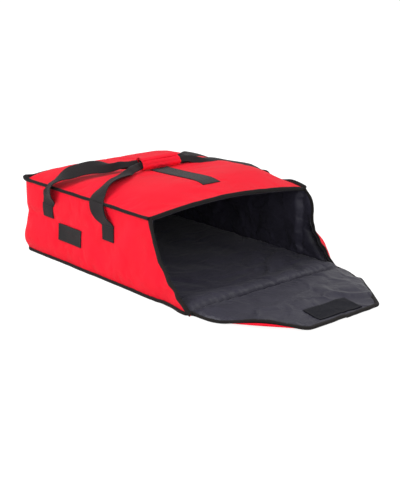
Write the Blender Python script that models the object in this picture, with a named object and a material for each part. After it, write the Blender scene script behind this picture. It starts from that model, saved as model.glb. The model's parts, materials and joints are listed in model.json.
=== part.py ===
"""Soft insulated carrying bag for flat square boxes, lying with its front panel open.

Metres, +Z up. The origin is the centre of the bag body's resting face. The mouth faces -Y and +X is
to the right of someone who looks into the mouth. Every cloth panel is a sandwich of outer cloth,
fibre insulation and lining, each of them a piece of its own.
"""

import math

import bmesh
import bpy
from mathutils import Matrix, Vector

# Bag body
BAG_WIDTH = 0.420
BAG_DEPTH = 0.450
BAG_HEIGHT = 0.165
TOP_RISE = 0.018
MOUTH_RISE = 0.012

# Cloth, insulation and edging
OUTER_CLOTH = 0.0012
INSULATION = 0.008
LINING_CLOTH = 0.0008
BINDING = 0.007
BINDING_PROUD = 0.0015
CLEARANCE = 0.0003

# Front panel and closing tongue, flat on the floor
GUSSET_REACH = 0.115
MOUTH_HEADROOM = 0.0005
TONGUE_SHOULDER = 0.0046
TONGUE_LENGTH = 0.1486
TIP_WIDTH = 0.184

# Gusset edge: where its bow is drawn to, as shares of its reach and height
BOW_REACH_SHARE = 0.25
BOW_HEIGHT_SHARE = 0.47
CREASE_ANGLE = math.radians(45)

# Hook and loop closure
TAPE_WIDTH = 0.046
TAPE_THICKNESS = 0.0012
HOOK_LENGTH = 0.115
HOOK_FROM_TIP = 0.011
LOOP_LENGTH = 0.176
LOOP_FROM_MOUTH = 0.063

# Blank patch on the left wall
PATCH_WIDTH = 0.084
PATCH_HEIGHT = 0.036
PATCH_THICKNESS = 0.0012
PATCH_FROM_REAR = 0.126
PATCH_FROM_FLOOR = 0.052

# Webbing straps
STRAP_WIDTH = 0.038
STRAP_THICKNESS = 0.0016
STRAP_END_HEIGHT = 0.034
STRAP_END_BELOW_TOP = 0.043
FRONT_STRAP_FROM_MOUTH = 0.145
REAR_STRAP_FROM_REAR = 0.085
FOLDED_WIDTH = 0.017
FOLDED_THICKNESS = 0.0032
STRAP_PARTING = 0.0190

# Grip that gathers the two straps
GRIP_LENGTH = 0.105
GRIP_FROM_REAR = 0.197
GRIP_PAD_WIDTH = 0.040
GRIP_PAD_HEIGHT = 0.019
GRIP_SEAT = 0.0035
GRIP_TAPE_WIDTH = 0.075
GRIP_TAPE_THICKNESS = 0.0008

# Where the grip's skin, its flap and their tapes start and end, from the top of the grip towards the rear
FLAP_HINGE_ANGLE = math.radians(-20)
FLAP_END_ANGLE = math.radians(104)
WRAP_START_ANGLE = math.radians(170)
WRAP_END_ANGLE = math.radians(526)
TAPE_START_ANGLE = math.radians(44)
TAPE_END_ANGLE = math.radians(98)

# How finely curved shapes are divided
CROWN_CELLS = 12
EDGE_STEPS = 12
HALVINGS = 20
OVAL_STEP = math.radians(12)
ROUTE_STEPS = 5
SMOOTH_ANGLE = math.radians(40)

# Worked out from the sizes above
HALF_WIDTH = BAG_WIDTH / 2
FOLD_Y = -BAG_DEPTH / 2
REAR_Y = BAG_DEPTH / 2
SANDWICH = OUTER_CLOTH + INSULATION + LINING_CLOTH + 2 * CLEARANCE
FIELD_HALF = HALF_WIDTH - BINDING - CLEARANCE
SEAM_Y = FOLD_Y - GUSSET_REACH
PANEL_HEIGHT = BAG_HEIGHT + MOUTH_RISE + BINDING_PROUD + MOUTH_HEADROOM - SANDWICH
BEND_Y = FOLD_Y - PANEL_HEIGHT
SHOULDER_Y = BEND_Y - TONGUE_SHOULDER
TIP_Y = BEND_Y - TONGUE_LENGTH
GRIP_Y = REAR_Y - GRIP_FROM_REAR
FRONT_STRAP_Y = FOLD_Y + FRONT_STRAP_FROM_MOUTH
REAR_STRAP_Y = REAR_Y - REAR_STRAP_FROM_REAR
STRAP_END_TOP = BAG_HEIGHT - STRAP_END_BELOW_TOP
WALL_FACE = HALF_WIDTH + CLEARANCE

# Routes of the straps from the sewn end on the wall to the grip, as shares: outward from the grip's
# end to the wall, along from the sewn end's line to the grip's, and up from the sewn end to the grip
FRONT_ROUTE_SHARES = [
    (1.00, 0.00, 0.00), (1.03, 0.01, 0.16), (1.12, 0.06, 0.45), (1.09, 0.13, 0.66),
    (0.93, 0.24, 0.83), (0.64, 0.46, 0.93), (0.34, 0.76, 0.96), (0.13, 0.98, 1.00),
]
REAR_ROUTE_SHARES = [
    (1.00, 0.00, 0.00), (1.03, 0.01, 0.16), (1.05, 0.02, 0.36), (1.045, 0.04, 0.52),
    (0.97, 0.08, 0.66), (0.76, 0.18, 0.83), (0.52, 0.34, 0.94), (0.30, 0.68, 0.98), (0.13, 0.97, 1.00),
]

RED = (0.78, 0.010, 0.030)
BLACK = (0.018, 0.018, 0.019)
CHARCOAL = (0.040, 0.038, 0.052)
FIBRE = (0.62, 0.63, 0.64)


def clear_scene():
    for old in list(bpy.data.objects):
        bpy.data.objects.remove(old, do_unlink=True)


def collection(name):
    made = bpy.data.collections.new(name)
    bpy.context.scene.collection.children.link(made)
    return made


def material(name, color, roughness):
    made = bpy.data.materials.new(name)
    made.use_nodes = True
    shader = made.node_tree.nodes["Principled BSDF"]
    shader.inputs["Base Color"].default_value = (*color, 1.0)
    shader.inputs["Roughness"].default_value = roughness
    shader.inputs["Metallic"].default_value = 0.0
    made.diffuse_color = (*color, 1.0)
    return made


clear_scene()
BAG = collection("Insulated_bag")

OUTER_FINISH = material("red woven cloth", RED, 0.75)
LINING_FINISH = material("charcoal lining", CHARCOAL, 0.5)
INSULATION_FINISH = material("fibre insulation", FIBRE, 0.9)
BINDING_FINISH = material("black binding tape", BLACK, 0.8)
WEBBING_FINISH = material("black webbing", BLACK, 0.75)
LOOP_FINISH = material("black loop tape", BLACK, 0.95)
HOOK_FINISH = material("black hook tape", BLACK, 0.6)
PATCH_FINISH = material("black patch", BLACK, 0.45)
FOAM_FINISH = material("grip foam", FIBRE, 0.9)


def axis_empty(name, place, parent=None):
    """An empty on a joint's axis, which the pieces of a moving body hang from."""
    made = bpy.data.objects.new(name, None)
    made.location = Vector(place) - (Vector(parent.location) if parent else Vector())
    made.parent = parent
    BAG.objects.link(made)
    return made


def add(name, data, finish, holder=None):
    """An object of the given data in the bag's collection, hung from its body's empty."""
    made = bpy.data.objects.new(name, data)
    data.materials.append(finish)
    BAG.objects.link(made)
    if holder:
        bpy.context.view_layer.update()
        made.parent = holder
        made.matrix_parent_inverse = holder.matrix_world.inverted()
    return made


def block(name, low, high, finish, holder=None):
    """A flat-sided layer between two corners."""
    mesh = bpy.data.meshes.new(name)
    bm = bmesh.new()
    low, high = Vector(low), Vector(high)
    bmesh.ops.create_cube(bm, size=1)
    bmesh.ops.scale(bm, vec=high - low, verts=bm.verts)
    bmesh.ops.translate(bm, vec=(low + high) / 2, verts=bm.verts)
    bm.to_mesh(mesh)
    bm.free()
    return add(name, mesh, finish, holder)


def crown(x, y):
    """How far the top stands above its side seams: nothing at the seams, an arch at the mouth."""
    across = min(1.0, abs(x) / FIELD_HALF)
    back = min(1.0, max(0.0, (y - FOLD_Y) / (BAG_DEPTH - BINDING)))
    return (1 - across**2) * (TOP_RISE * 4 * back * (1 - back) + MOUTH_RISE * (1 - back))


def crowned_block(name, low, high, finish):
    """A layer between two corners, raised by the crown: a grid, so that stacked layers bend alike."""
    mesh = bpy.data.meshes.new(name)
    bm = bmesh.new()
    low, high = Vector(low), Vector(high)
    bmesh.ops.create_grid(bm, x_segments=CROWN_CELLS, y_segments=CROWN_CELLS, size=0.5)
    swollen = bmesh.ops.extrude_face_region(bm, geom=bm.faces[:])
    raised = [v for v in swollen["geom"] if isinstance(v, bmesh.types.BMVert)]
    bmesh.ops.translate(bm, vec=(0, 0, 1), verts=raised)
    bmesh.ops.scale(bm, vec=high - low, verts=bm.verts)
    bmesh.ops.translate(bm, vec=((low.x + high.x) / 2, (low.y + high.y) / 2, low.z), verts=bm.verts)
    for vertex in bm.verts:
        vertex.co.z += crown(vertex.co.x, vertex.co.y)
    bmesh.ops.recalc_face_normals(bm, faces=bm.faces)
    bm.to_mesh(mesh)
    bm.free()
    mesh.shade_smooth()
    mesh.set_sharp_from_angle(angle=SMOOTH_ANGLE)
    return add(name, mesh, finish)


def flat_outline(name, points, thickness, finish, holder=None, inner=None):
    """A flat piece of the given outline, and hole, in XY, as thick as told and centred on z 0."""
    shape = bpy.data.curves.new(name, "CURVE")
    shape.dimensions = "2D"
    shape.fill_mode = "BOTH"
    shape.extrude = thickness / 2
    for loop in [points] + ([inner] if inner else []):
        spline = shape.splines.new("POLY")
        spline.points.add(len(loop) - 1)
        for target, (a, b) in zip(spline.points, loop):
            target.co = (a, b, 0, 1)
        spline.use_cyclic_u = True
    return add(name, shape, finish, holder)


def lying(made, low, thickness):
    """Sets a flat outline down with its under side at the given height."""
    made.matrix_world = Matrix.Translation((0, 0, low + thickness / 2))
    return made


def upright(made, middle_x):
    """Stands a flat outline up in the plane of a side wall: its X runs along Y and its Y up."""
    turn = Matrix.Rotation(math.pi / 2, 4, "Z") @ Matrix.Rotation(math.pi / 2, 4, "X")
    made.matrix_world = Matrix.Translation((middle_x, 0, 0)) @ turn
    return made


# Bottom and top panels
LAYERS = [
    ("outer", 0.0, OUTER_CLOTH, OUTER_FINISH),
    ("insulation", OUTER_CLOTH + CLEARANCE, INSULATION, INSULATION_FINISH),
    ("lining", SANDWICH - LINING_CLOTH, LINING_CLOTH, LINING_FINISH),
]


def bottom_panel():
    for layer, start, thickness, finish in LAYERS:
        block(f"bottom_{layer}", (-FIELD_HALF, FOLD_Y + CLEARANCE, start),
              (FIELD_HALF, REAR_Y - BINDING - CLEARANCE, start + thickness), finish)


def top_panel():
    for layer, start, thickness, finish in LAYERS:
        crowned_block(f"top_{layer}",
                      (-FIELD_HALF, FOLD_Y + BINDING + 2 * CLEARANCE, BAG_HEIGHT - start - thickness),
                      (FIELD_HALF, REAR_Y - BINDING - CLEARANCE, BAG_HEIGHT - start), finish)


def side_walls():
    for side, hand in (("left", -1), ("right", 1)):
        for layer, start, thickness, finish in LAYERS:
            edge = BINDING + CLEARANCE if layer == "outer" else SANDWICH + CLEARANCE
            back = REAR_Y if layer == "outer" else REAR_Y - SANDWICH - CLEARANCE
            near, far = sorted((hand * (HALF_WIDTH - start), hand * (HALF_WIDTH - start - thickness)))
            block(f"{side}_wall_{layer}", (near, FOLD_Y + CLEARANCE, edge),
                  (far, back, BAG_HEIGHT - edge), finish)


def rear_wall():
    half = HALF_WIDTH - OUTER_CLOTH - CLEARANCE
    for layer, start, thickness, finish in LAYERS:
        edge = BINDING + CLEARANCE if layer == "outer" else SANDWICH + CLEARANCE
        block(f"rear_wall_{layer}", (-half, REAR_Y - start - thickness, edge),
              (half, REAR_Y - start, BAG_HEIGHT - edge), finish)


def edge_bindings():
    """Black tape round the sides and rear of the top and of the bottom, and over the mouth's top edge."""
    out, inner = HALF_WIDTH + BINDING_PROUD, HALF_WIDTH - BINDING
    back, inner_back = REAR_Y + BINDING_PROUD, REAR_Y - BINDING
    front = FOLD_Y + CLEARANCE
    path = [(-out, front), (-out, back), (out, back), (out, front),
            (inner, front), (inner, inner_back), (-inner, inner_back), (-inner, front)]
    lying(flat_outline("bottom_edge_binding", path, BINDING, BINDING_FINISH), 0.0, BINDING)
    deep = BINDING + BINDING_PROUD
    lying(flat_outline("top_edge_binding", path, deep, BINDING_FINISH), BAG_HEIGHT - BINDING, deep)
    crowned_block("mouth_top_binding", (-inner + CLEARANCE, front, BAG_HEIGHT - BINDING),
                  (inner - CLEARANCE, FOLD_Y + BINDING + CLEARANCE, BAG_HEIGHT + BINDING_PROUD),
                  BINDING_FINISH)


# Side gussets, drawn as distance forward of the fold and height
EDGE_TOP = Vector((BINDING + CLEARANCE, BAG_HEIGHT))
EDGE_FOOT = Vector((GUSSET_REACH, BINDING + CLEARANCE))
EDGE_BOW = Vector((GUSSET_REACH * BOW_REACH_SHARE, BAG_HEIGHT * BOW_HEIGHT_SHARE))


def edge_point(t, inset=0.0):
    """A point on the gusset's bowed edge, t from its top to its foot, moved into the gusset."""
    place = (1 - t) ** 2 * EDGE_TOP + 2 * t * (1 - t) * EDGE_BOW + t**2 * EDGE_FOOT
    along = ((1 - t) * (EDGE_BOW - EDGE_TOP) + t * (EDGE_FOOT - EDGE_BOW)).normalized()
    inward = Vector((along.y, -along.x))
    return place + inset * inward


def edge_run(start, end, inset):
    steps = max(2, round(EDGE_STEPS * (end - start)))
    return [edge_point(start + (end - start) * i / steps, inset) for i in range(steps + 1)]


def crease_height(forward):
    return EDGE_FOOT.y + forward * math.tan(CREASE_ANGLE)


def crossing(inset):
    """The t at which the bowed edge meets the crease, found by halving."""
    low, high = 0.0, 1.0
    for _ in range(HALVINGS):
        middle = (low + high) / 2
        point = edge_point(middle, inset)
        if point.y > crease_height(point.x):
            low = middle
        else:
            high = middle
    return low


def gusset_outlines():
    """Outlines of the upper and lower halves of a gusset, and of the binding along each half's edge."""
    field = BINDING + CLEARANCE
    near = CLEARANCE
    meet, meet_field = crossing(0.0), crossing(field)
    split = Vector((0, CLEARANCE / 2))
    corner = Vector((near, crease_height(near)))
    upper_edge = [p for p in edge_run(0.0, meet_field, field) if p.x > near]
    top = Vector((near, upper_edge[0].y))
    upper = [corner + split, top] + upper_edge[:-1] + [upper_edge[-1] + split]
    lower_edge = [p for p in edge_run(meet_field, 1.0, field) if p.y > EDGE_FOOT.y + CLEARANCE]
    heel = Vector((lower_edge[-1].x, EDGE_FOOT.y))
    lower = [corner - split, lower_edge[0] - split] + lower_edge[1:] + [heel]
    bindings = []
    for start, end, lift in ((0.0, meet, split), (meet, 1.0, -split)):
        outside = edge_run(start, end, 0.0)
        inside = edge_run(start, end, BINDING)
        if lift.y > 0:
            outside[-1] = outside[-1] + lift
            inside[-1] = inside[-1] + lift
        else:
            outside[0] = outside[0] + lift
            inside[0] = inside[0] + lift
        bindings.append([Vector((max(p.x, near), max(p.y, EDGE_FOOT.y))) for p in outside + inside[::-1]])
    return {"upper": upper, "lower": lower, "upper_binding": bindings[0], "lower_binding": bindings[1]}


def gussets(panel_holder):
    outlines = gusset_outlines()
    for side, hand in (("left", -1), ("right", 1)):
        for half, holder in (("upper", None), ("lower", panel_holder)):
            points = [(FOLD_Y - p.x, p.y) for p in outlines[half]]
            edging = [(FOLD_Y - p.x, p.y) for p in outlines[f"{half}_binding"]]
            cloth_x = hand * (HALF_WIDTH - OUTER_CLOTH / 2)
            lining_x = hand * (HALF_WIDTH - OUTER_CLOTH - CLEARANCE - LINING_CLOTH / 2)
            tape = BINDING_PROUD + OUTER_CLOTH + 2 * CLEARANCE + LINING_CLOTH + BINDING_PROUD
            tape_x = hand * (HALF_WIDTH + BINDING_PROUD - tape / 2)
            name = f"{side}_gusset_{half}"
            upright(flat_outline(name, points, OUTER_CLOTH, OUTER_FINISH, holder), cloth_x)
            upright(flat_outline(f"{name}_lining", points, LINING_CLOTH, LINING_FINISH, holder), lining_x)
            upright(flat_outline(f"{name}_binding", edging, tape, BINDING_FINISH, holder), tape_x)


def front_panel(holder):
    """The panel that closes the mouth, in two padded fields with the stitched seam between them."""
    start_y, end_y = FOLD_Y - CLEARANCE, BEND_Y + CLEARANCE
    for layer, start, thickness, finish in LAYERS:
        fields = [("", start_y, end_y)]
        if layer != "outer":
            fields = [("_lower", start_y, SEAM_Y + CLEARANCE), ("_upper", SEAM_Y - CLEARANCE, end_y)]
        for part, near, far in fields:
            block(f"front_panel{part}_{layer}", (-FIELD_HALF, far, start),
                  (FIELD_HALF, near, start + thickness), finish, holder)
    for side, hand in (("left", -1), ("right", 1)):
        near, far = sorted((hand * (HALF_WIDTH - BINDING), hand * (HALF_WIDTH + BINDING_PROUD)))
        block(f"front_panel_{side}_binding", (near, end_y, 0), (far, start_y, BINDING),
              BINDING_FINISH, holder)


def tongue_outline(inset):
    """Half widths and places of the tongue's corners, from the bend to the tip, drawn in by an inset."""
    chamfer = Vector((HALF_WIDTH - TIP_WIDTH / 2, SHOULDER_Y - TIP_Y))
    lean = chamfer.length
    wide = HALF_WIDTH - inset
    tip_y = TIP_Y + inset
    shoulder_y = SHOULDER_Y + inset * (lean - chamfer.y) / chamfer.x
    tip_half = TIP_WIDTH / 2 - inset * (lean - chamfer.x) / chamfer.y
    return [(wide, BEND_Y - CLEARANCE), (wide, shoulder_y), (tip_half, tip_y)]


def tongue(holder):
    half = tongue_outline(BINDING + CLEARANCE)
    field = half + [(-x, y) for x, y in half[::-1]]
    for layer, start, thickness, finish in LAYERS:
        lying(flat_outline(f"tongue_{layer}", field, thickness, finish, holder), start, thickness)
    outside, inside = tongue_outline(-BINDING_PROUD), tongue_outline(BINDING)
    ring = outside + [(-x, y) for x, y in outside[::-1]] + [(-x, y) for x, y in inside] + inside[::-1]
    lying(flat_outline("tongue_binding", ring, BINDING, BINDING_FINISH, holder), 0.0, BINDING)
    hook_y = TIP_Y + HOOK_FROM_TIP
    low = SANDWICH + CLEARANCE
    block("closure_hook_strip", (-HOOK_LENGTH / 2, hook_y, low),
          (HOOK_LENGTH / 2, hook_y + TAPE_WIDTH, low + TAPE_THICKNESS), HOOK_FINISH, holder)


def loop_strip():
    start = FOLD_Y + LOOP_FROM_MOUTH
    low = BAG_HEIGHT + CLEARANCE
    crowned_block("closure_loop_strip", (-TAPE_WIDTH / 2, start, low),
                  (TAPE_WIDTH / 2, start + LOOP_LENGTH, low + TAPE_THICKNESS), LOOP_FINISH)


def label_patch():
    rear = REAR_Y - PATCH_FROM_REAR
    block("label_patch", (-WALL_FACE - PATCH_THICKNESS, rear - PATCH_WIDTH, PATCH_FROM_FLOOR),
          (-WALL_FACE, rear, PATCH_FROM_FLOOR + PATCH_HEIGHT), PATCH_FINISH)


def strap_ends():
    for strap, y in (("front", FRONT_STRAP_Y), ("rear", REAR_STRAP_Y)):
        for side, hand in (("left", -1), ("right", 1)):
            near, far = sorted((hand * WALL_FACE, hand * (WALL_FACE + STRAP_THICKNESS)))
            block(f"{strap}_strap_{side}_end", (near, y - STRAP_WIDTH / 2, STRAP_END_TOP - STRAP_END_HEIGHT),
                  (far, y + STRAP_WIDTH / 2, STRAP_END_TOP), WEBBING_FINISH)


# Straps and grip
GRIP_BASE = BAG_HEIGHT + crown(0, GRIP_Y) + GRIP_SEAT
WRAP_OUT = CLEARANCE + OUTER_CLOTH
GRIP_Z = GRIP_BASE + GRIP_PAD_HEIGHT / 2 + WRAP_OUT
FLAP_IN = WRAP_OUT + 3 * CLEARANCE + 2 * GRIP_TAPE_THICKNESS


def smooth(points, steps):
    """A Catmull-Rom curve through the points."""
    points = [Vector(p) for p in points]
    padded = [2 * points[0] - points[1]] + points + [2 * points[-1] - points[-2]]
    run = []
    for i in range(1, len(padded) - 2):
        a, b, c, d = padded[i - 1 : i + 3]
        for step in range(steps):
            t = step / steps
            run.append(0.5 * (2 * b + (c - a) * t + (2 * a - 5 * b + 4 * c - d) * t**2
                              + (3 * b - a - 3 * c + d) * t**3))
    return run + [padded[-2]]


def loft(name, rings, finish, holder):
    """A closed body through rings of four corners."""
    mesh = bpy.data.meshes.new(name)
    bm = bmesh.new()
    made = [[bm.verts.new(corner) for corner in ring] for ring in rings]
    for ring, following in zip(made, made[1:]):
        for i in range(4):
            j = (i + 1) % 4
            bm.faces.new((ring[i], ring[j], following[j], following[i]))
    bm.faces.new(made[0])
    bm.faces.new(made[-1][::-1])
    bmesh.ops.recalc_face_normals(bm, faces=bm.faces)
    bm.to_mesh(mesh)
    bm.free()
    return add(name, mesh, finish, holder)


def strap(name, strap_y, row_y, shares, holder):
    """A strap from wall to wall: flat webbing that folds to half its width where the grip holds it."""
    wall_x = WALL_FACE + STRAP_THICKNESS / 2
    start_z = STRAP_END_TOP + CLEARANCE
    end_x = GRIP_LENGTH / 2
    climb = []
    for outward, along, up in shares:
        climb.append((-end_x - outward * (wall_x - end_x),
                      strap_y + along * (row_y - strap_y),
                      start_z + up * (GRIP_Z - start_z)))
    half = smooth(climb + [(-end_x, row_y, GRIP_Z)], ROUTE_STEPS)
    route = half + [Vector((-p.x, p.y, p.z)) for p in half[::-1]]
    rings = []
    last = len(route) - 1
    for i, place in enumerate(route):
        along = (route[min(i + 1, last)] - route[max(i - 1, 0)]).normalized()
        if i in (0, last):
            along = Vector((0, 0, 1 if i == 0 else -1))
        if abs(place.x) <= end_x + CLEARANCE:
            along = Vector((1, 0, 0))
        across = (Vector((0, 1, 0)) - along.y * along).normalized()
        through = along.cross(across)
        steps_off = max(0, len(half) - 1 - min(i, last - i) - ROUTE_STEPS)
        flat = min(1.0, steps_off / (2 * ROUTE_STEPS))
        wide = FOLDED_WIDTH + flat * (STRAP_WIDTH - FOLDED_WIDTH)
        thick = FOLDED_THICKNESS + flat * (STRAP_THICKNESS - FOLDED_THICKNESS)
        rings.append([place + a * across * wide / 2 + b * through * thick / 2
                      for a, b in ((-1, -1), (1, -1), (1, 1), (-1, 1))])
    return loft(name, rings, WEBBING_FINISH, holder)


def oval(angle, out):
    """A point of the grip's section: angle from the top towards the rear, out from the padding."""
    return (GRIP_Y + (GRIP_PAD_WIDTH / 2 + out) * math.sin(angle),
            GRIP_Z + (GRIP_PAD_HEIGHT / 2 + out) * math.cos(angle))


def oval_band(name, start, end, inner, outer, length, finish, holder):
    """A strip of the grip's skin between two angles, as long as told and centred on the grip."""
    steps = max(2, math.ceil((end - start) / OVAL_STEP))
    angles = [start + (end - start) * i / steps for i in range(steps + 1)]
    points = [oval(a, outer) for a in angles] + [oval(a, inner) for a in angles[::-1]]
    return upright(flat_outline(name, points, length, finish, holder), 0.0)


def grip(holder, flap_holder):
    steps = round(2 * math.pi / OVAL_STEP)
    skin = [oval(2 * math.pi * i / steps, 0.0) for i in range(steps)]
    slot_y = STRAP_PARTING / 2 + FOLDED_WIDTH / 2 + CLEARANCE
    slot_z = FOLDED_THICKNESS / 2 + CLEARANCE
    slot = [(GRIP_Y + a * slot_y, GRIP_Z + b * slot_z) for a, b in ((-1, -1), (1, -1), (1, 1), (-1, 1))]
    upright(flat_outline("grip_padding", skin, GRIP_LENGTH, FOAM_FINISH, holder, inner=slot), 0.0)
    oval_band("grip_wrap", WRAP_START_ANGLE, WRAP_END_ANGLE, CLEARANCE, WRAP_OUT, GRIP_LENGTH,
              OUTER_FINISH, holder)
    loop_in = WRAP_OUT + CLEARANCE
    loop_out = loop_in + GRIP_TAPE_THICKNESS
    hook_in = loop_out + CLEARANCE
    hook_out = hook_in + GRIP_TAPE_THICKNESS
    oval_band("grip_loop_tape", TAPE_START_ANGLE, TAPE_END_ANGLE, loop_in, loop_out, GRIP_TAPE_WIDTH,
              LOOP_FINISH, holder)
    oval_band("grip_hook_tape", TAPE_START_ANGLE, TAPE_END_ANGLE, hook_in, hook_out, GRIP_TAPE_WIDTH,
              HOOK_FINISH, flap_holder)
    oval_band("grip_flap", FLAP_HINGE_ANGLE, FLAP_END_ANGLE, FLAP_IN, FLAP_IN + OUTER_CLOTH, GRIP_LENGTH,
              OUTER_FINISH, flap_holder)


bottom_panel()
side_walls()
rear_wall()
top_panel()
edge_bindings()
loop_strip()
label_patch()
strap_ends()

front_fold = axis_empty("front_fold_axis", (0, FOLD_Y, SANDWICH))
tongue_fold = axis_empty("tongue_fold_axis", (0, BEND_Y, SANDWICH), front_fold)
lift = axis_empty("handle_axis", (0, GRIP_Y, GRIP_Z))
flap_y, flap_z = oval(FLAP_HINGE_ANGLE, FLAP_IN + OUTER_CLOTH)
flap_fold = axis_empty("grip_flap_axis", (0, flap_y, flap_z), lift)

gussets(front_fold)
front_panel(front_fold)
tongue(tongue_fold)
strap("front_strap", FRONT_STRAP_Y, GRIP_Y - STRAP_PARTING / 2, FRONT_ROUTE_SHARES, lift)
strap("rear_strap", REAR_STRAP_Y, GRIP_Y + STRAP_PARTING / 2, REAR_ROUTE_SHARES, lift)
grip(lift, flap_fold)
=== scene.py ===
# %% [markdown]
# A soft insulated bag that carries a stack of flat boxes. Its front panel lies open on the floor, so
# that the dark lining shows, and two webbing straps meet in a padded grip over the domed top. The
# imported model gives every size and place, and this lesson dresses it in cloth, tape and thread.

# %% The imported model
import json
import math

import bmesh
import bpy
from mathutils import Matrix, Vector, noise
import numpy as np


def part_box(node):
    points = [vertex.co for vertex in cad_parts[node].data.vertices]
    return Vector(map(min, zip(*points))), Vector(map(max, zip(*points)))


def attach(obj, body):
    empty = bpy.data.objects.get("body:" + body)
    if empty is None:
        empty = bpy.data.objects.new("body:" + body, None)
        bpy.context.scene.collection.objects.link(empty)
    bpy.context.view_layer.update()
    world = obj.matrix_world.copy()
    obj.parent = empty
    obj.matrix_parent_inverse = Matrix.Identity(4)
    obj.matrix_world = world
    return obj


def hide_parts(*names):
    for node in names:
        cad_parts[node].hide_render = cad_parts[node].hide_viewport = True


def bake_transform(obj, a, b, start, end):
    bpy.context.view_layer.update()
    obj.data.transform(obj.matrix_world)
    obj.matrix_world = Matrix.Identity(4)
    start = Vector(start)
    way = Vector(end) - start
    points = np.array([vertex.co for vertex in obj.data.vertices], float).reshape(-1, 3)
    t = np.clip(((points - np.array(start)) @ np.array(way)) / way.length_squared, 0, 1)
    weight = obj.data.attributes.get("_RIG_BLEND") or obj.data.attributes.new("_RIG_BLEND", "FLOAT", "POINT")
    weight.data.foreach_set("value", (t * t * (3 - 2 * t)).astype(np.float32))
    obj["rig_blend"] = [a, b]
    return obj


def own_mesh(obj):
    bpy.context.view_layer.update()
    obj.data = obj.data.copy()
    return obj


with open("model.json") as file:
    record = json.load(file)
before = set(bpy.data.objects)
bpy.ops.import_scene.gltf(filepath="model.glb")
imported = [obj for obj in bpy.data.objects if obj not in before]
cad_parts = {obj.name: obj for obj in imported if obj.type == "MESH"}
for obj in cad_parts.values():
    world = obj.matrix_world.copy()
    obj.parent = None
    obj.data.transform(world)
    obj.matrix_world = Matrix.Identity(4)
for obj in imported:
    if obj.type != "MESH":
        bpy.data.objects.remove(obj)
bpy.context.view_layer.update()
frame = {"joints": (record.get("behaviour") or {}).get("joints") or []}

# %% [markdown]
# The camera comes first, because every later choice is judged through it. It stands where the
# photographer stood, in front of the bag's left corner and a little above it. Its place and lens were
# worked out from the bag's own corners, and they are given in metres and millimetres.

# %% The camera
CAMERA_PLACE = (-1.44625, -1.80498, 0.71540)
CAMERA_AZIMUTH = -40.712
CAMERA_DOWN = 16.597
CAMERA_LENS = 80.84


def aim_camera():
    lens = bpy.data.cameras.new("camera")
    lens.lens = CAMERA_LENS
    camera = bpy.data.objects.new("camera", lens)
    camera.location = CAMERA_PLACE
    camera.rotation_euler = (math.radians(90 - CAMERA_DOWN), 0, math.radians(CAMERA_AZIMUTH))
    bpy.context.scene.collection.objects.link(camera)
    bpy.context.scene.camera = camera


aim_camera()

# %% [markdown]
# Shader maths reads best as plain sums. This small class wraps a socket, so that adding or multiplying
# two of them adds the Math node that does it. A recipe makes one material: its node method adds any
# other node, with its settings first and then the values or links of its sockets.


# %% Sockets that can be added and multiplied
class Wire:
    """A socket of a material, or of a group of them, that takes part in sums."""

    def __init__(self, recipe, socket):
        self.recipe = recipe
        self.socket = socket

    def math(self, operation, *others):
        values = dict(enumerate((self, *others)))
        return self.recipe.node("ShaderNodeMath", {"operation": operation}, values)

    def __add__(self, other):
        return self.math("ADD", other)

    __radd__ = __add__

    def __mul__(self, other):
        return self.math("MULTIPLY", other)

    __rmul__ = __mul__

    def __sub__(self, other):
        return self.math("SUBTRACT", other)

    def __rsub__(self, other):
        return self * -1 + other

    def __truediv__(self, other):
        return self.math("DIVIDE", other)

    def sine(self):
        return self.math("SINE")

    def size(self):
        return self.math("ABSOLUTE")

    def power(self, other):
        return self.math("POWER", other)

    def between(self, low, high):
        """0 below low, 1 above high and smooth between them."""
        return self.recipe.node(
            "ShaderNodeMapRange",
            {"interpolation_type": "SMOOTHSTEP"},
            {"Value": self, "From Min": low, "From Max": high},
        )


class Recipe:
    """A material whose maths is written as Python sums."""

    def __init__(self, name):
        self.material = bpy.data.materials.new(name)
        self.material.use_nodes = True
        self.tree = self.material.node_tree
        self.shader = self.tree.nodes["Principled BSDF"]

    def put(self, socket, value):
        if isinstance(value, Wire):
            self.tree.links.new(value.socket, socket)
        else:
            socket.default_value = value

    def node(self, kind, settings=None, inputs=None, output=0):
        made = self.tree.nodes.new(kind)
        for name, value in (settings or {}).items():
            if name == "stops":
                for spot, (place, color) in zip(made.color_ramp.elements, value):
                    spot.position, spot.color = place, color
            else:
                setattr(made, name, value)
        for name, value in (inputs or {}).items():
            self.put(made.inputs[name], value)
        return Wire(self, made.outputs[output])

    def finish(self, **channels):
        """Feeds the shader: words joined by _ stand for the names of its sockets."""
        for name, value in channels.items():
            self.put(self.shader.inputs[name.replace("_", " ").title()], value)
        return self.material

    def attribute(self, name):
        return self.node("ShaderNodeAttribute", {"attribute_name": name}, output="Fac")

    def cloth_place(self):
        """Where a point lies on the flat cloth, in metres."""
        across, along = self.attribute("across"), self.attribute("along")
        flat = {"X": across, "Y": along, "Z": self.attribute("layer")}
        return self.node("ShaderNodeCombineXYZ", None, flat)

    def cloud(self, place, scale, detail=2.0, rough=0.5):
        inputs = {"Vector": place, "Scale": scale, "Detail": detail, "Roughness": rough}
        return self.node("ShaderNodeTexNoise", None, inputs, "Fac")

    def tint(self, amount, low, high):
        """A colour from low to high as the amount goes from 0 to 1."""
        inputs = {0: amount, 6: (*low, 1.0), 7: (*high, 1.0)}
        return self.node("ShaderNodeMix", {"data_type": "RGBA"}, inputs, 2)

    def relief(self, height, depth, strength=1.0, under=None):
        inputs = {"Height": height, "Distance": depth, "Strength": strength}
        if under:
            inputs["Normal"] = under
        return self.node("ShaderNodeBump", None, inputs)


print("a recipe writes its maths as sums")

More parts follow.
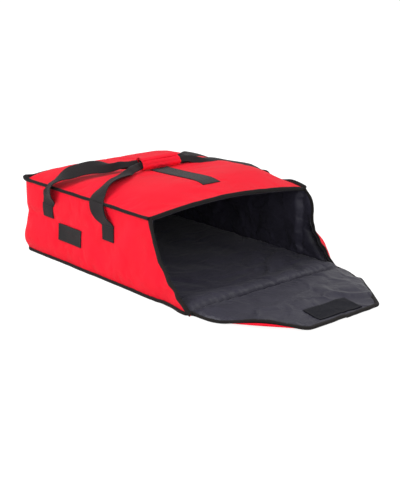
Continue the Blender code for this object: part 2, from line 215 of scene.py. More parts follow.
# %% [markdown]
# The outer cloth is a plain weave of coated polyester yarn. Its pattern must lie on the cloth and not
# in space, so every sheet below carries its flat place as attributes named across and along. A product
# of two sines rises at each crossing of the yarns, and its sign tells which yarn is on top.

# %% Woven cloths
YARN = 0.0007
LINING_YARN = 0.00035


def weave(recipe, pitch):
    """(height, which yarn is on top) of a plain weave, both from 0 to 1."""
    turn = math.pi / pitch
    crossing = (recipe.attribute("across") * turn).sine() * (recipe.attribute("along") * turn).sine()
    return crossing.size().power(0.6), crossing.between(-0.15, 0.15)


def red_cloth():
    recipe = Recipe("red woven cloth")
    height, over = weave(recipe, YARN)
    place = recipe.cloth_place()
    mottle = recipe.cloud(place, 14.0, 4.0, 0.6)
    slub = recipe.cloud(place, 420.0, 2.0)
    tone = (mottle - 0.5) * 0.9 + (over - 0.5) * 0.22 + (slub - 0.5) * 0.3 + 0.5
    recipe.shader.inputs["Sheen Weight"].default_value = 0.03
    recipe.shader.inputs["Specular IOR Level"].default_value = 0.15
    creases = recipe.relief(recipe.cloud(place, 38.0, 5.0, 0.62), 0.0011, 0.5)
    return recipe.finish(
        base_color=recipe.tint(tone, (0.80, 0.0010, 0.014), (0.93, 0.0060, 0.032)),
        roughness=0.62 + (slub - 0.5) * 0.2,
        normal=recipe.relief(height, 0.00012, 0.45, creases),
    )


def lining_cloth():
    recipe = Recipe("dark lining")
    height, over = weave(recipe, LINING_YARN)
    place = recipe.cloth_place()
    mottle = recipe.cloud(place, 22.0, 4.0, 0.6)
    tone = (mottle - 0.5) * 1.1 + (over - 0.5) * 0.15 + 0.5
    recipe.shader.inputs["Sheen Weight"].default_value = 0.06
    recipe.shader.inputs["Specular IOR Level"].default_value = 0.27
    creases = recipe.relief(recipe.cloud(place, 55.0, 5.0, 0.68), 0.0016, 0.8)
    return recipe.finish(
        base_color=recipe.tint(tone, (0.019, 0.0175, 0.029), (0.036, 0.0335, 0.052)),
        roughness=0.42 + (mottle - 0.5) * 0.22,
        normal=recipe.relief(height, 0.00006, 0.4, creases),
    )


RED_CLOTH = red_cloth()
LINING = lining_cloth()

# %% [markdown]
# Tape and webbing are ribbed. Binding tape has fine ribs across its run, and webbing has a coarser weave
# whose ribs show as dark lines along it. The loop tape is a mat of fuzz, and the hook tape has rows of
# stiff hooks in place of yarn.

# %% Tapes and webbing
BINDING_RIB = 0.0009
WEBBING_RIB = 0.0021
WEBBING_PICK = 0.0013
HOOK_PITCH = 0.0018


def binding_tape():
    recipe = Recipe("binding tape")
    ribs = (recipe.attribute("along") * (math.pi / BINDING_RIB)).sine().size()
    fuzz = recipe.cloud(recipe.cloth_place(), 300.0, 3.0)
    tone = ribs * 0.5 + (fuzz - 0.5) * 0.8 + 0.25
    recipe.shader.inputs["Sheen Weight"].default_value = 0.05
    recipe.shader.inputs["Specular IOR Level"].default_value = 0.1
    return recipe.finish(
        base_color=recipe.tint(tone, (0.007, 0.0060, 0.0060), (0.018, 0.0155, 0.0155)),
        roughness=0.78 + (fuzz - 0.5) * 0.2,
        normal=recipe.relief(ribs, 0.00014, 0.6),
    )


def webbing():
    recipe = Recipe("ribbed webbing")
    along, across = recipe.attribute("along"), recipe.attribute("across")
    ribs = (across * (math.pi / WEBBING_RIB)).sine().size()
    picks = (along * (math.pi / WEBBING_PICK) + ribs * 1.3).sine().size()
    fuzz = recipe.cloud(recipe.cloth_place(), 260.0, 3.0)
    tone = ribs.power(0.5) * 0.55 + picks * 0.3 + (fuzz - 0.5) * 0.5
    recipe.shader.inputs["Sheen Weight"].default_value = 0.06
    recipe.shader.inputs["Specular IOR Level"].default_value = 0.1
    return recipe.finish(
        base_color=recipe.tint(tone, (0.008, 0.0066, 0.0070), (0.025, 0.0205, 0.0225)),
        roughness=0.66 + (fuzz - 0.5) * 0.25,
        normal=recipe.relief(ribs.power(0.7) * 0.7 + picks * 0.3, 0.00035, 0.7),
    )


def loop_fuzz():
    recipe = Recipe("loop tape")
    place = recipe.cloth_place()
    tufts = recipe.cloud(place, 900.0, 2.0, 0.7)
    patches = recipe.cloud(place, 90.0, 3.0)
    recipe.shader.inputs["Sheen Weight"].default_value = 0.15
    recipe.shader.inputs["Specular IOR Level"].default_value = 0.1
    return recipe.finish(
        base_color=recipe.tint(tufts * 0.8 + (patches - 0.5) * 0.6,
                               (0.004, 0.0034, 0.0036), (0.014, 0.0115, 0.0120)),
        roughness=0.9 + (patches - 0.5) * 0.1,
        normal=recipe.relief(tufts, 0.0007, 0.8),
    )


def hook_rows():
    recipe = Recipe("hook tape")
    turn = math.pi / HOOK_PITCH
    hooks_across, hooks_along = (
        (recipe.attribute(name) * turn).sine().size() for name in ("across", "along")
    )
    hooks = hooks_across * hooks_along
    wear = recipe.cloud(recipe.cloth_place(), 120.0, 3.0)
    recipe.shader.inputs["Specular IOR Level"].default_value = 0.15
    return recipe.finish(
        base_color=recipe.tint(hooks + (wear - 0.5) * 0.4, (0.004, 0.004, 0.0072), (0.014, 0.0135, 0.022)),
        roughness=0.5 + (wear - 0.5) * 0.3,
        normal=recipe.relief(hooks, 0.0005, 0.8),
    )


def patch_skin():
    recipe = Recipe("blank patch")
    height, over = weave(recipe, YARN)
    wear = recipe.cloud(recipe.cloth_place(), 60.0, 4.0, 0.6)
    recipe.shader.inputs["Specular IOR Level"].default_value = 0.2
    return recipe.finish(
        base_color=recipe.tint(wear + (over - 0.5) * 0.2, (0.0085, 0.0078, 0.0085), (0.018, 0.0160, 0.0170)),
        roughness=0.5 + (wear - 0.5) * 0.3,
        normal=recipe.relief(height, 0.0001, 0.5),
    )


def sewing_thread(name, low, high):
    recipe = Recipe(name)
    place = recipe.node("ShaderNodeTexCoord", None, None, "Object")
    ply = recipe.cloud(place, 1500.0, 2.0)
    return recipe.finish(base_color=recipe.tint(ply, low, high), roughness=0.5 + ply * 0.2)


def fibre_fill(name, low, high):
    recipe = Recipe(name)
    place = recipe.node("ShaderNodeTexCoord", None, None, "Object")
    wool = recipe.cloud(place, 350.0, 6.0, 0.7)
    return recipe.finish(
        base_color=recipe.tint(wool, low, high),
        roughness=0.9 + wool * 0.1,
        normal=recipe.relief(wool, 0.001, 0.8),
    )


BINDING_TAPE = binding_tape()
WEBBING = webbing()
LOOP_FUZZ = loop_fuzz()
HOOK_ROWS = hook_rows()
PATCH_SKIN = patch_skin()
DARK_THREAD = sewing_thread("black thread", (0.010, 0.010, 0.010), (0.035, 0.034, 0.034))
RED_THREAD = sewing_thread("red thread", (0.45, 0.002, 0.012), (0.72, 0.006, 0.03))
BATT_FILL = fibre_fill("fibre batt", (0.55, 0.56, 0.57), (0.72, 0.73, 0.74))
# The grip's foam is painted near black, much darker than pale foam, as painted shade in the grip's open
# ends.
PAINTED_SHADE_FOAM = fibre_fill("grip foam", (0.02, 0.02, 0.02), (0.05, 0.05, 0.05))
print(len(bpy.data.materials), "finishes")

# %% [markdown]
# The stage is a white floor and soft lamps. The floor glows a little for the camera alone, so that it
# renders white while the object's shadow still shows on it. The main lamp stands on the left and a
# little behind, because each strap's shadow in the photograph falls towards the mouth.

# %% Stage and lamps
FLOOR_HALF = 12.0
MAIN_LAMP = {"place": (-2.3, 1.0, 2.3), "size": 1.3, "power": 62.0}
FILL_LAMP = {"place": (-1.0, -3.0, 1.6), "size": 2.4, "power": 42.0}
RIGHT_LAMP = {"place": (2.6, -1.6, 1.9), "size": 2.0, "power": 24.0}
SKY_LIGHT = 0.55
LAMP_AIM = Vector((0.0, -0.1, 0.08))


def white_floor():
    bpy.ops.mesh.primitive_plane_add(size=2 * FLOOR_HALF, location=(0, 0, -0.0004))
    floor = bpy.context.object
    floor.name = "floor"
    paint = bpy.data.materials.new("white floor")
    paint.use_nodes = True
    tree = paint.node_tree
    tree.nodes.clear()
    new, link = tree.nodes.new, tree.links.new
    kinds = ("OutputMaterial", "BsdfDiffuse", "BsdfDiffuse", "Emission")
    out, seen, other, glow = (new(f"ShaderNode{kind}") for kind in kinds)
    path, both, pick = new("ShaderNodeLightPath"), new("ShaderNodeAddShader"), new("ShaderNodeMixShader")
    seen.inputs["Color"].default_value = (0.30, 0.30, 0.30, 1)
    other.inputs["Color"].default_value = (0.80, 0.80, 0.80, 1)
    glow.inputs["Color"].default_value = (0.90, 0.90, 0.90, 1)
    link(seen.outputs[0], both.inputs[0])
    link(glow.outputs[0], both.inputs[1])
    link(path.outputs["Is Camera Ray"], pick.inputs[0])
    link(other.outputs[0], pick.inputs[1])
    link(both.outputs[0], pick.inputs[2])
    link(pick.outputs[0], out.inputs["Surface"])
    floor.data.materials.append(paint)


def white_sky():
    world = bpy.data.worlds.new("sky")
    world.use_nodes = True
    bpy.context.scene.world = world
    tree = world.node_tree
    tree.nodes.clear()
    new, link = tree.nodes.new, tree.links.new
    out, lit, seen, pick = (new(f"ShaderNode{kind}") for kind in ("OutputWorld", "Background", "Background",
                                                                  "MixShader"))
    path = new("ShaderNodeLightPath")
    shown = new("ShaderNodeMath")
    shown.operation = "MAXIMUM"
    link(path.outputs["Is Camera Ray"], shown.inputs[0])
    link(path.outputs["Is Transmission Ray"], shown.inputs[1])
    lit.inputs["Strength"].default_value = SKY_LIGHT
    seen.inputs["Strength"].default_value = 1.0
    for shader in (lit, seen):
        shader.inputs["Color"].default_value = (1, 1, 1, 1)
    link(shown.outputs[0], pick.inputs[0])
    link(lit.outputs[0], pick.inputs[1])
    link(seen.outputs[0], pick.inputs[2])
    link(pick.outputs[0], out.inputs["Surface"])


def soft_lamp(name, place, size, power):
    lamp = bpy.data.lights.new(name, "AREA")
    lamp.size = size
    lamp.energy = power
    made = bpy.data.objects.new(name, lamp)
    made.location = place
    made.rotation_euler = (LAMP_AIM - Vector(place)).to_track_quat("-Z", "Y").to_euler()
    bpy.context.scene.collection.objects.link(made)


white_floor()
white_sky()
soft_lamp("main lamp", **MAIN_LAMP)
soft_lamp("fill lamp", **FILL_LAMP)
soft_lamp("right lamp", **RIGHT_LAMP)
bpy.context.scene.view_settings.view_transform = "Standard"
print("stage and lamps stand")

# %% [markdown]
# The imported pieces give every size, so nothing is measured twice. The walls stand on a plan with
# rounded rear corners. The front panel runs forward from its fold to a stitched seam, then to a bend,
# and ends in a tongue. Heights are above the floor, and a run is a way along the foot of the walls.

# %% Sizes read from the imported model
HALF_WIDTH = -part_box("left_wall_outer")[0].x
REAR_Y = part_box("left_wall_outer")[1].y
HINGES = {joint["name"]: joint.get("pos_m") for joint in frame["joints"]}
FOLD_Y = HINGES["front_fold"][1]
BEND_Y = HINGES["tongue_fold"][1]
SEAM_Y = (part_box("front_panel_lower_lining")[0].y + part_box("front_panel_upper_lining")[1].y) / 2
TIP_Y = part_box("tongue_binding")[0].y
TOP_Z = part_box("left_gusset_upper_binding")[1].z
FLOOR_CLOTH_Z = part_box("bottom_lining")[1].z
CREASE_FOOT_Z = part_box("left_gusset_lower")[0].z
CROWN_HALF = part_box("top_outer")[1].x
CLOTH = 0.0012
LINING_CLOTH = 0.0008
BATT = 0.0048
CELL = 0.0033
print("the bag is", round(2 * HALF_WIDTH, 3), "wide and",
      round(REAR_Y - TIP_Y, 3), "deep with its front down")

# %% [markdown]
# Cloth never lies in exact planes. A few small curves shape it everywhere below: a ramp that eases from
# 0 to 1, a bump that fades on both sides of a line, a slow random wandering that stands for the slack of
# sewn cloth, and a crumple with sharp ridges. They are seeded by place, so each run gives the same folds.

# %% Curves that shape cloth


def ramp(value, low, high):
    share = min(1.0, max(0.0, (value - low) / (high - low)))
    return share * share * (3 - 2 * share)


def bump(value, middle, reach):
    return math.exp(-(((value - middle) / reach) ** 2))


def fade(distance, reach):
    """1 at an edge and 0 far from it."""
    return math.exp(-max(0.0, distance) / reach)


def wander(place, size, seed):
    return noise.noise(Vector(place) / size + Vector((seed, seed * 1.7, seed * 2.3)))


def mix(low, high, share):
    return low + (high - low) * share


def crumple(place, size, seed):
    """Sharp ridges with wide hollows between them, as in thin cloth that has been pressed."""
    return 0.5 - min(1.0, 2.2 * abs(wander(place, size, seed)))


def eased(stops, where):
    """The value at a place between (place, value) stops, eased at every stop."""
    for (start, low), (end, high) in zip(stops, stops[1:]):
        if where <= end:
            return mix(low, high, ramp(where, start, end))
    return stops[-1][1]


# %% [markdown]
# Every cloth starts as a flat grid, as it did on the cutting table. A place function says where each
# point of the grid lies on the bag and where it lies on the flat cloth. The flat place is stored with
# the point, because the weave is drawn from it and then follows every fold.

# %% From a flat grid to a sheet of cloth
FLAT_PLACE = ("across", "along", "layer")


def new_piece(name, made, finish):
    mesh = bpy.data.meshes.new(name)
    made.to_mesh(mesh)
    made.free()
    mesh.shade_smooth()
    mesh.materials.append(finish)
    piece = bpy.data.objects.new(name, mesh)
    bpy.context.scene.collection.objects.link(piece)
    return piece


def flat_grid(cells, place, layer):
    """A bent grid: place(u, v) gives a point, and its place across and along the flat cloth."""
    made = bmesh.new()
    marks = [made.verts.layers.float.new(name) for name in FLAT_PLACE]
    bmesh.ops.create_grid(made, x_segments=cells[0], y_segments=cells[1], size=0.5)
    for vert in made.verts:
        point, across, along = place(vert.co.x + 0.5, vert.co.y + 0.5)
        for mark, value in zip(marks, (across, along, layer)):
            vert[mark] = value
        vert.co = point
    return made


def cloth_sheet(name, cells, place, finish, facing, layer=0.0):
    """An open sheet whose faces look the way of facing."""
    made = flat_grid(cells, place, layer)
    made.normal_update()
    looks = sum((face.normal * face.calc_area() for face in made.faces), Vector())
    if looks.dot(Vector(facing)) < 0:
        bmesh.ops.reverse_faces(made, faces=made.faces)
    return new_piece(name, made, finish)


def finish_shape(piece):
    """Applies the piece's modifiers, so that its own mesh is the final one."""
    graph = bpy.context.evaluated_depsgraph_get()
    final = bpy.data.meshes.new_from_object(
        piece.evaluated_get(graph), preserve_all_data_layers=True, depsgraph=graph
    )
    piece.modifiers.clear()
    piece.data = final
    return piece


def thicken(piece, thickness, offset=-1.0):
    """Gives a sheet its thickness, behind its faces unless offset says otherwise."""
    wall = piece.modifiers.new("thickness", "SOLIDIFY")
    wall.thickness = thickness
    wall.offset = offset
    wall.use_even_offset = False
    finish_shape(piece)
    piece.data.set_sharp_from_angle(angle=math.radians(50))
    return piece


def cells_of(wide, long, cell=CELL):
    return max(2, round(wide / cell)), max(2, round(long / cell))


# %% [markdown]
# Puckers at a seam come from spare cloth that is sewn down, and a cloth simulation makes them better
# than any formula. The sewn points are held, the cloth gets a few percent of slack, and a gentle
# pressure swells it for a few frames. Then the result becomes the mesh. Every move is capped, and most
# of what goes inwards is left out, so that no cloth sinks into the one behind it.

# %% Letting sewn cloth settle


SETTLE_FRAMES = 16


def settle(piece, held=None, *, slack, swell, cap):
    """Swells a sheet that is sewn along its border, and wherever held(across, along) is true."""
    made = bmesh.new()
    made.from_mesh(piece.data)
    across, along = (made.verts.layers.float[name] for name in FLAT_PLACE[:2])
    fixed = [v.index for v in made.verts if v.is_boundary or held and held(v[across], v[along])]
    made.free()
    sewn = piece.vertex_groups.new(name="sewn")
    sewn.add(fixed, 1.0, "REPLACE")
    cloth = piece.modifiers.new("swell", "CLOTH")
    cloth.settings.vertex_group_mass = sewn.name
    cloth.settings.quality = 4
    cloth.settings.mass = 0.25
    cloth.settings.tension_stiffness = cloth.settings.compression_stiffness = 12
    cloth.settings.shear_stiffness = 6
    cloth.settings.bending_stiffness = 0.15
    cloth.settings.air_damping = 4
    cloth.settings.shrink_min = -slack
    cloth.settings.use_pressure = True
    cloth.settings.uniform_pressure_force = swell
    cloth.settings.effector_weights.gravity = 0.0
    cloth.point_cache.frame_end = SETTLE_FRAMES
    scene = bpy.context.scene
    for count in range(1, SETTLE_FRAMES + 1):
        scene.frame_set(count)
    graph = bpy.context.evaluated_depsgraph_get()
    swollen = bpy.data.meshes.new_from_object(piece.evaluated_get(graph))
    furthest = 0.0
    outward = [vert.normal.copy() for vert in piece.data.vertices]
    for vert, after, normal in zip(piece.data.vertices, swollen.vertices, outward):
        move = after.co - vert.co
        move -= normal * min(0.0, move.dot(normal)) * 0.8
        furthest = max(furthest, move.length)
        vert.co += move * (cap * math.tanh(move.length / cap) / max(move.length, 1e-9))
    piece.modifiers.clear()
    piece.vertex_groups.clear()
    scene.frame_set(1)
    print(piece.name, "settled by up to", round(furthest * 1000, 1), "mm")
    return piece


# %% [markdown]
# A cut parts one settled cloth into two pieces that still meet point for point. Blender's bisect does
# it, once for each side, and the flat place of the new points is worked out on the way. The size that a
# finished sheet's flat places give is printed.

# %% Cutting cloth and printing its size


def cut(piece, name, point, normal):
    """Keeps what lies behind the plane, and gives what lies in front of it as a new piece."""
    halves = []
    for drop in ("clear_outer", "clear_inner"):
        made = bmesh.new()
        made.from_mesh(piece.data)
        parts = made.verts[:] + made.edges[:] + made.faces[:]
        bmesh.ops.bisect_plane(made, geom=parts, dist=1e-6, plane_co=point, plane_no=normal, **{drop: True})
        halves.append(made)
    front = new_piece(name, halves[1], piece.data.materials[0])
    halves[0].to_mesh(piece.data)
    halves[0].free()
    return front


def stand_for(piece, slot, *nodes):
    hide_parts(*nodes)
    return piece


def declare_sheet(piece):
    """Prints the size that a finished sheet's flat places give, and works out its area without keeping it.
    """
    data = [piece.data.attributes[name].data for name in FLAT_PLACE[:2]]
    flat = [tuple(marks[i].value for marks in data) for i in range(len(piece.data.vertices))]
    wide, long = (max(p[i] for p in flat) - min(p[i] for p in flat) for i in (0, 1))
    both_sides = 0.0
    for face in piece.data.polygons:
        ring = [flat[i] for i in face.vertices]
        both_sides += abs(sum(p[0] * q[1] - q[0] * p[1] for p, q in zip(ring, ring[1:] + ring[:1]))) / 2
    both_sides / 2
    print(piece.name, "is cut to", round(wide * 1000), "x", round(long * 1000), "mm")


# %% [markdown]
# The two side cloths run on past the fold as gussets, up to the mouth's slanted edge. Each edge is a
# list of points down from the top: how far forward of the fold, how high, and how far out of the wall's
# plane. The left edge is a smooth curve. The right one is drawn in below, and the cloth behind it bulges.

# %% The mouth's slanted edges
LEFT, RIGHT = -1, 1
SIDES = {"left": LEFT, "right": RIGHT}
EDGE_LOW, EDGE_HIGH = 0.0030, 0.1625
EDGES = {
    LEFT: [(-0.0065, EDGE_HIGH, 0.0), (0.0095, 0.1150, 0.0), (0.0240, 0.0880, 0.0), (0.0435, 0.0660, 0.0),
           (0.0645, 0.0480, 0.0), (0.0895, 0.0280, 0.0), (0.1110, 0.0135, 0.0), (0.1260, EDGE_LOW, 0.0)],
    RIGHT: [(0.0010, EDGE_HIGH, -0.001), (0.0150, 0.1420, 0.003), (0.0232, 0.1190, 0.002),
            (0.0255, 0.1040, -0.001), (0.0300, 0.0850, -0.006), (0.0400, 0.0670, -0.009),
            (0.0530, 0.0480, -0.010),
            (0.0660, 0.0350, -0.010), (0.0840, 0.0190, -0.009), (0.1070, EDGE_LOW, -0.007)],
}
HALVINGS = 24
EDGE_STEPS = 60


def catmull_rom(points, share):
    """The place at a share of a smooth curve through points."""
    last = len(points) - 1
    i = min(int(share * last), last - 1)
    t = share * last - i
    b, c = Vector(points[i]), Vector(points[i + 1])
    a = Vector(points[i - 1]) if i else 2 * b - c
    d = Vector(points[i + 2]) if i + 2 <= last else 2 * c - b
    return 0.5 * (2 * b + (c - a) * t + (2 * a - 5 * b + 4 * c - d) * t**2 + (3 * b - a - 3 * c + d) * t**3)


def slant(share, side):
    return catmull_rom(EDGES[side], share)


def slant_share(side, is_past):
    """The share at which a test of (forward, height) turns true."""
    low, high = 0.0, 1.0
    for _ in range(HALVINGS):
        middle = (low + high) / 2
        forward, height, _ = slant(middle, side)
        low, high = (low, middle) if is_past(forward, height) else (middle, high)
    return high


CREASE_SHARES = {side: slant_share(side, lambda forward, z: z - CREASE_FOOT_Z < forward) for side in EDGES}
EDGE_TABLE = {
    side: [slant(slant_share(side, lambda forward, z: z < mix(EDGE_HIGH, EDGE_LOW, i / EDGE_STEPS)), side)
           for i in range(EDGE_STEPS + 1)]
    for side in EDGES
}


def edge_at(height, side):
    """The edge's point at a height, read from a table."""
    place = EDGE_STEPS * min(1.0, max(0.0, (EDGE_HIGH - height) / (EDGE_HIGH - EDGE_LOW)))
    i = min(int(place), EDGE_STEPS - 1)
    return EDGE_TABLE[side][i].lerp(EDGE_TABLE[side][i + 1], place - i)


print("the gussets' creases meet the edges at shares", CREASE_SHARES)

# %% [markdown]
# The plan is a rectangle with rounded rear corners. A run counts metres behind the fold along the left
# side, round the corner and on to the middle of the rear. The right side is its mirror image, with
# folds of its own.

# %% The plan of the walls
CORNER_RADIUS = 0.018
STRAIGHT_RUN = REAR_Y - CORNER_RADIUS - FOLD_Y
TURN_RUN = CORNER_RADIUS * math.pi / 2
WALL_RUN = STRAIGHT_RUN + TURN_RUN / 2
REAR_RUN = TURN_RUN / 2 + HALF_WIDTH - CORNER_RADIUS


def plan(run):
    """(a point of the left wall's line, its outward direction)."""
    if run <= STRAIGHT_RUN:
        return Vector((-HALF_WIDTH, FOLD_Y + run, 0)), Vector((-1, 0, 0))
    turned = min((run - STRAIGHT_RUN) / CORNER_RADIUS, math.pi / 2)
    past = max(0.0, run - STRAIGHT_RUN - TURN_RUN)
    out = Vector((-math.cos(turned), math.sin(turned), 0))
    middle = Vector((-HALF_WIDTH + CORNER_RADIUS + past, REAR_Y - CORNER_RADIUS, 0))
    return middle + CORNER_RADIUS * out, out


def handed(point, side):
    """A point of the left side, or its mirror image on the right."""
    return Vector((-side * point.x, point.y, point.z))


# %% [markdown]
# A padded wall stands out a few millimetres from its seams. It rolls out furthest just above the floor,
# has a lengthwise crease at half height near the rear corner, and its foot leans out where the gusset
# spreads over the open front panel. The right gusset bulges, and its edge is tucked inwards.

# %% How far a wall stands out
WALL_SWELL = 0.0004
FLOOR_ROLL = {"out": 0.0026, "height": 0.032, "reach": 0.028}
CORNER_ROLL = 0.0062
CORNER_SQUARE = (0.55, 0.85)
REAR_CREASE = {"in": 0.0036, "height": 0.090, "reach": 0.011}
FOOT_LEAN = {LEFT: 0.0058, RIGHT: -0.0030}
BOTTOM_SPREAD = 0.0018
GUSSET_BULGE = {LEFT: 0.0, RIGHT: 0.0204}
MOUTH_BACK = 0.0065
SEWN_SHIFT = -0.0055
EDGE_REACH = 0.012
SEAM_SAG = {LEFT: 0.0, RIGHT: 0.0065}
SEAM_BOW = {LEFT: 0.0, RIGHT: 0.0043}


def seam_rise(run, side):
    """How far the top seam lies above a level line: on the right it sags at the mouth and bows behind."""
    share = min(1.0, max(0.0, run / (REAR_Y - FOLD_Y)))
    return SEAM_BOW[side] * math.sin(math.pi * share) - SEAM_SAG[side] * fade(run, 0.030)


def mouth_draw(x):
    """How far the mouth's upper edge is drawn back, which is most at its left end."""
    return MOUTH_BACK * fade(x + HALF_WIDTH, 0.022)


def floor_lean(run, side):
    """How far the bottom seam lies outside the plan."""
    wave = 0.0016 * wander((run, 0, 0), 0.075, 3.1 + side)
    return BOTTOM_SPREAD + wave + FOOT_LEAN[side] * ramp(-run, 0.015, 0.112)


def corner_out(run, square):
    """What squares off the plan's round corner, all the way where square is 1."""
    turned = min(max((run - STRAIGHT_RUN) / CORNER_RADIUS, 0.0), math.pi / 2)
    return square * CORNER_RADIUS * (1 / max(math.cos(turned), math.sin(turned)) - 1)


def wrinkles(behind, height, side):
    """Short folds that run into the lower half of the slanted edge, where its tape gathers the cloth."""
    sway = 3 * wander((behind, height, 0), 0.05, 15.0 + side)
    wave = math.sin(2 * math.pi * (height + 0.5 * behind) / 0.024 + sway)
    return 0.0015 * wave * fade(behind, 0.026) * bump(height, 0.048, 0.030)


def wall_out(run, height, side):
    up = min(1.0, max(0.0, height / TOP_Z))
    sewn = math.sin(math.pi * up)
    crease_height = REAR_CREASE["height"] + 0.03 * (WALL_RUN - run)
    crease = REAR_CREASE["in"] * bump(height, crease_height, REAR_CREASE["reach"])
    folds = 0.0024 * wander((run, height * 1.4, 0), 0.085, 5.0 + side)
    folds += 0.0012 * wander((run, height, 0.2), 0.030, 9.0 + side)
    edge = edge_at(height, side)
    behind = edge.x + run
    bulge = GUSSET_BULGE[side] * bump(behind, 0.017, 0.015) * bump(height, 0.042, 0.036)
    bulge += edge.z * fade(behind, EDGE_REACH) + wrinkles(behind, height, side)
    out = floor_lean(run, side) * (1 - up) + WALL_SWELL * sewn**0.6
    roll_out = FLOOR_ROLL["out"] + CORNER_ROLL * ramp(run, 0.30, 0.43) * ramp(WALL_RUN + 0.15 - run, 0, 0.14)
    out += roll_out * bump(height, FLOOR_ROLL["height"], FLOOR_ROLL["reach"]) * ramp(height, 0, 0.02)
    out += corner_out(run, mix(*CORNER_SQUARE, up))
    return out - crease * ramp(run, 0.27, 0.42) + folds * sewn + bulge


def wall_point(run, height, side, inward):
    line, out = plan(run)
    point = line + out * (wall_out(run, height, side) - inward)
    point.z = height + seam_rise(run, side) * (height / EDGE_HIGH) ** 3
    return handed(point, side)


# %% [markdown]
# The side cloth is one piece from the slanted edge to the rear corner, so that its folds run on across
# the fold line. It is settled as a whole and then cut twice: at the fold, and along the gusset's crease,
# because the upper half stays with the bag and the lower half goes with the front panel.

# %% The side cloths
PATCH_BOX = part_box("label_patch")
TAB_BOXES = [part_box(f"{strap}_strap_left_end") for strap in ("front", "rear")]
GUSSET_FOOT = Vector((0, FOLD_Y, CREASE_FOOT_Z))


def under_sewn_piece(run, height):
    """True where a patch or a webbing end holds the cloth."""
    y = FOLD_Y + run - SEWN_SHIFT
    return any(low.y <= y <= high.y and low.z <= height <= high.z for low, high in (PATCH_BOX, *TAB_BOXES))


def side_place(side, low, high, inward):
    def place(u, v):
        height = mix(low, high, v)
        run = mix(-edge_at(height, side).x, WALL_RUN, u)
        return wall_point(run, height, side, inward(run, height)), run, height

    return place


def fold_away(piece, body):
    """Attaches a piece of a gusset to its body and gives it a mesh of its own."""
    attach(piece, body)
    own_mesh(piece)


def part_gussets(wall, name, thickness):
    """Cuts a settled side sheet into its wall and its two gusset halves."""
    upper = cut(wall, f"{name}_upper_gusset", (0, FOLD_Y, 0), (0, -1, 0))
    lower = cut(upper, f"{name}_lower_gusset", GUSSET_FOOT, (0, -1, -1))
    for piece in (wall, upper, lower):
        thicken(piece, thickness)
    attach(wall, "bag")
    fold_away(upper, "bag")
    fold_away(lower, "front_panel")
    return upper, lower


for name, side in SIDES.items():
    wall = cloth_sheet(
        f"{name}_wall_cloth", cells_of(WALL_RUN + 0.06, TOP_Z),
        side_place(side, EDGE_LOW, EDGE_HIGH, lambda run, height: 0.0), RED_CLOTH, (side, 0, 0), side,
    )
    settle(wall, under_sewn_piece, slack=0.006, swell=1.0, cap=0.003)
    upper, lower = part_gussets(wall, f"{name}_cloth", CLOTH)
    stand_for(wall, "red_cloth", f"{name}_wall_outer")
    stand_for(upper, "red_cloth", f"{name}_gusset_upper")
    stand_for(lower, "red_cloth", f"{name}_gusset_lower")
    declare_sheet(wall)
    declare_sheet(upper)
    declare_sheet(lower)
print("the side cloths are cut at the fold and along the crease")

# %% [markdown]
# The side linings follow the same surface on the inside. They lie close behind the cloth in the
# gussets, which hold no padding, and step in past the batt behind the fold. That step is the upright
# soft ridge that shows inside the mouth.

# %% The side linings and batts
LINING_GAP = 0.0040
PADDING_DEPTH = 0.0098
LINING_LOW, LINING_HIGH = 0.0070, 0.1575
LINING_PILLOW = 0.0030
BATT_CELL = 0.009
BATT_INSET = 0.0030
BATT_MARGIN = 0.016
BATT_LOW, BATT_HIGH = 0.016, 0.148


def lining_inward(run, height):
    up = (height - LINING_LOW) / (LINING_HIGH - LINING_LOW)
    pillow = LINING_PILLOW * math.sin(math.pi * min(1.0, max(0.0, up)))
    folds = 0.0012 * crumple((run, height, 0), 0.045, 33.0) * ramp(up, 0.0, 0.15) * ramp(1 - up, 0.0, 0.15)
    step = ramp(run + 0.009 * wander((height, 0, 0), 0.030, 37.0), -0.004, 0.015)
    return LINING_GAP + step * (PADDING_DEPTH - LINING_GAP + pillow) + max(0.0, folds)


def batt(name, cells, place, body, facing, nodes):
    """A fibre pad that fills the space behind a cloth."""
    pad = cloth_sheet(name, cells, place, BATT_FILL, facing)
    thicken(pad, BATT)
    stand_for(pad, "insulation", *nodes)
    if body:
        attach(pad, body)
    return pad


def wall_batt_place(side):
    def place(u, v):
        run, height = mix(BATT_MARGIN, WALL_RUN - BATT_MARGIN, u), mix(BATT_LOW, BATT_HIGH, v)
        return wall_point(run, height, side, BATT_INSET), run, height

    return place


for name, side in SIDES.items():
    inner = cloth_sheet(
        f"{name}_wall_lining_cloth", cells_of(WALL_RUN + 0.06, TOP_Z),
        side_place(side, LINING_LOW, LINING_HIGH, lining_inward), LINING, (-side, 0, 0), side + 4,
    )
    settle(inner, slack=0.030, swell=1.4, cap=0.006)
    upper, lower = part_gussets(inner, f"{name}_lining", LINING_CLOTH)
    stand_for(inner, "lining", f"{name}_wall_lining")
    stand_for(upper, "lining", f"{name}_gusset_upper_lining")
    stand_for(lower, "lining", f"{name}_gusset_lower_lining")
    declare_sheet(inner)
    declare_sheet(upper)
    declare_sheet(lower)
    batt(f"{name}_wall_batt", cells_of(WALL_RUN, TOP_Z, BATT_CELL), wall_batt_place(side), "bag",
         (side, 0, 0), [f"{name}_wall_insulation"])
print("the sides are lined and padded")

# %% [markdown]
# The top is domed by what the bag carries, and highest between the mouth and the grip. The mouth's edge
# rises with it in a round arch. Towards the rear it is boxy, with steep shoulders, and it hides the rear
# seam from the front. Close to its seams the cloth dives into the binding.

# %% The shape of the dome
RISES = [(0.0, 0.0140), (0.22, 0.0285), (0.5, 0.0245), (0.8, 0.0165), (1.0, 0.0160)]
REAR_RISE = 0.0070
SHOULDERS = {LEFT: [(0.0, 1.9), (0.45, 3.6), (1.0, 6.5)], RIGHT: [(0.0, 1.6), (0.30, 8.0), (1.0, 9.0)]}
MOUTH_TILT = 0.0020
SEAM_DIVE = 0.0028


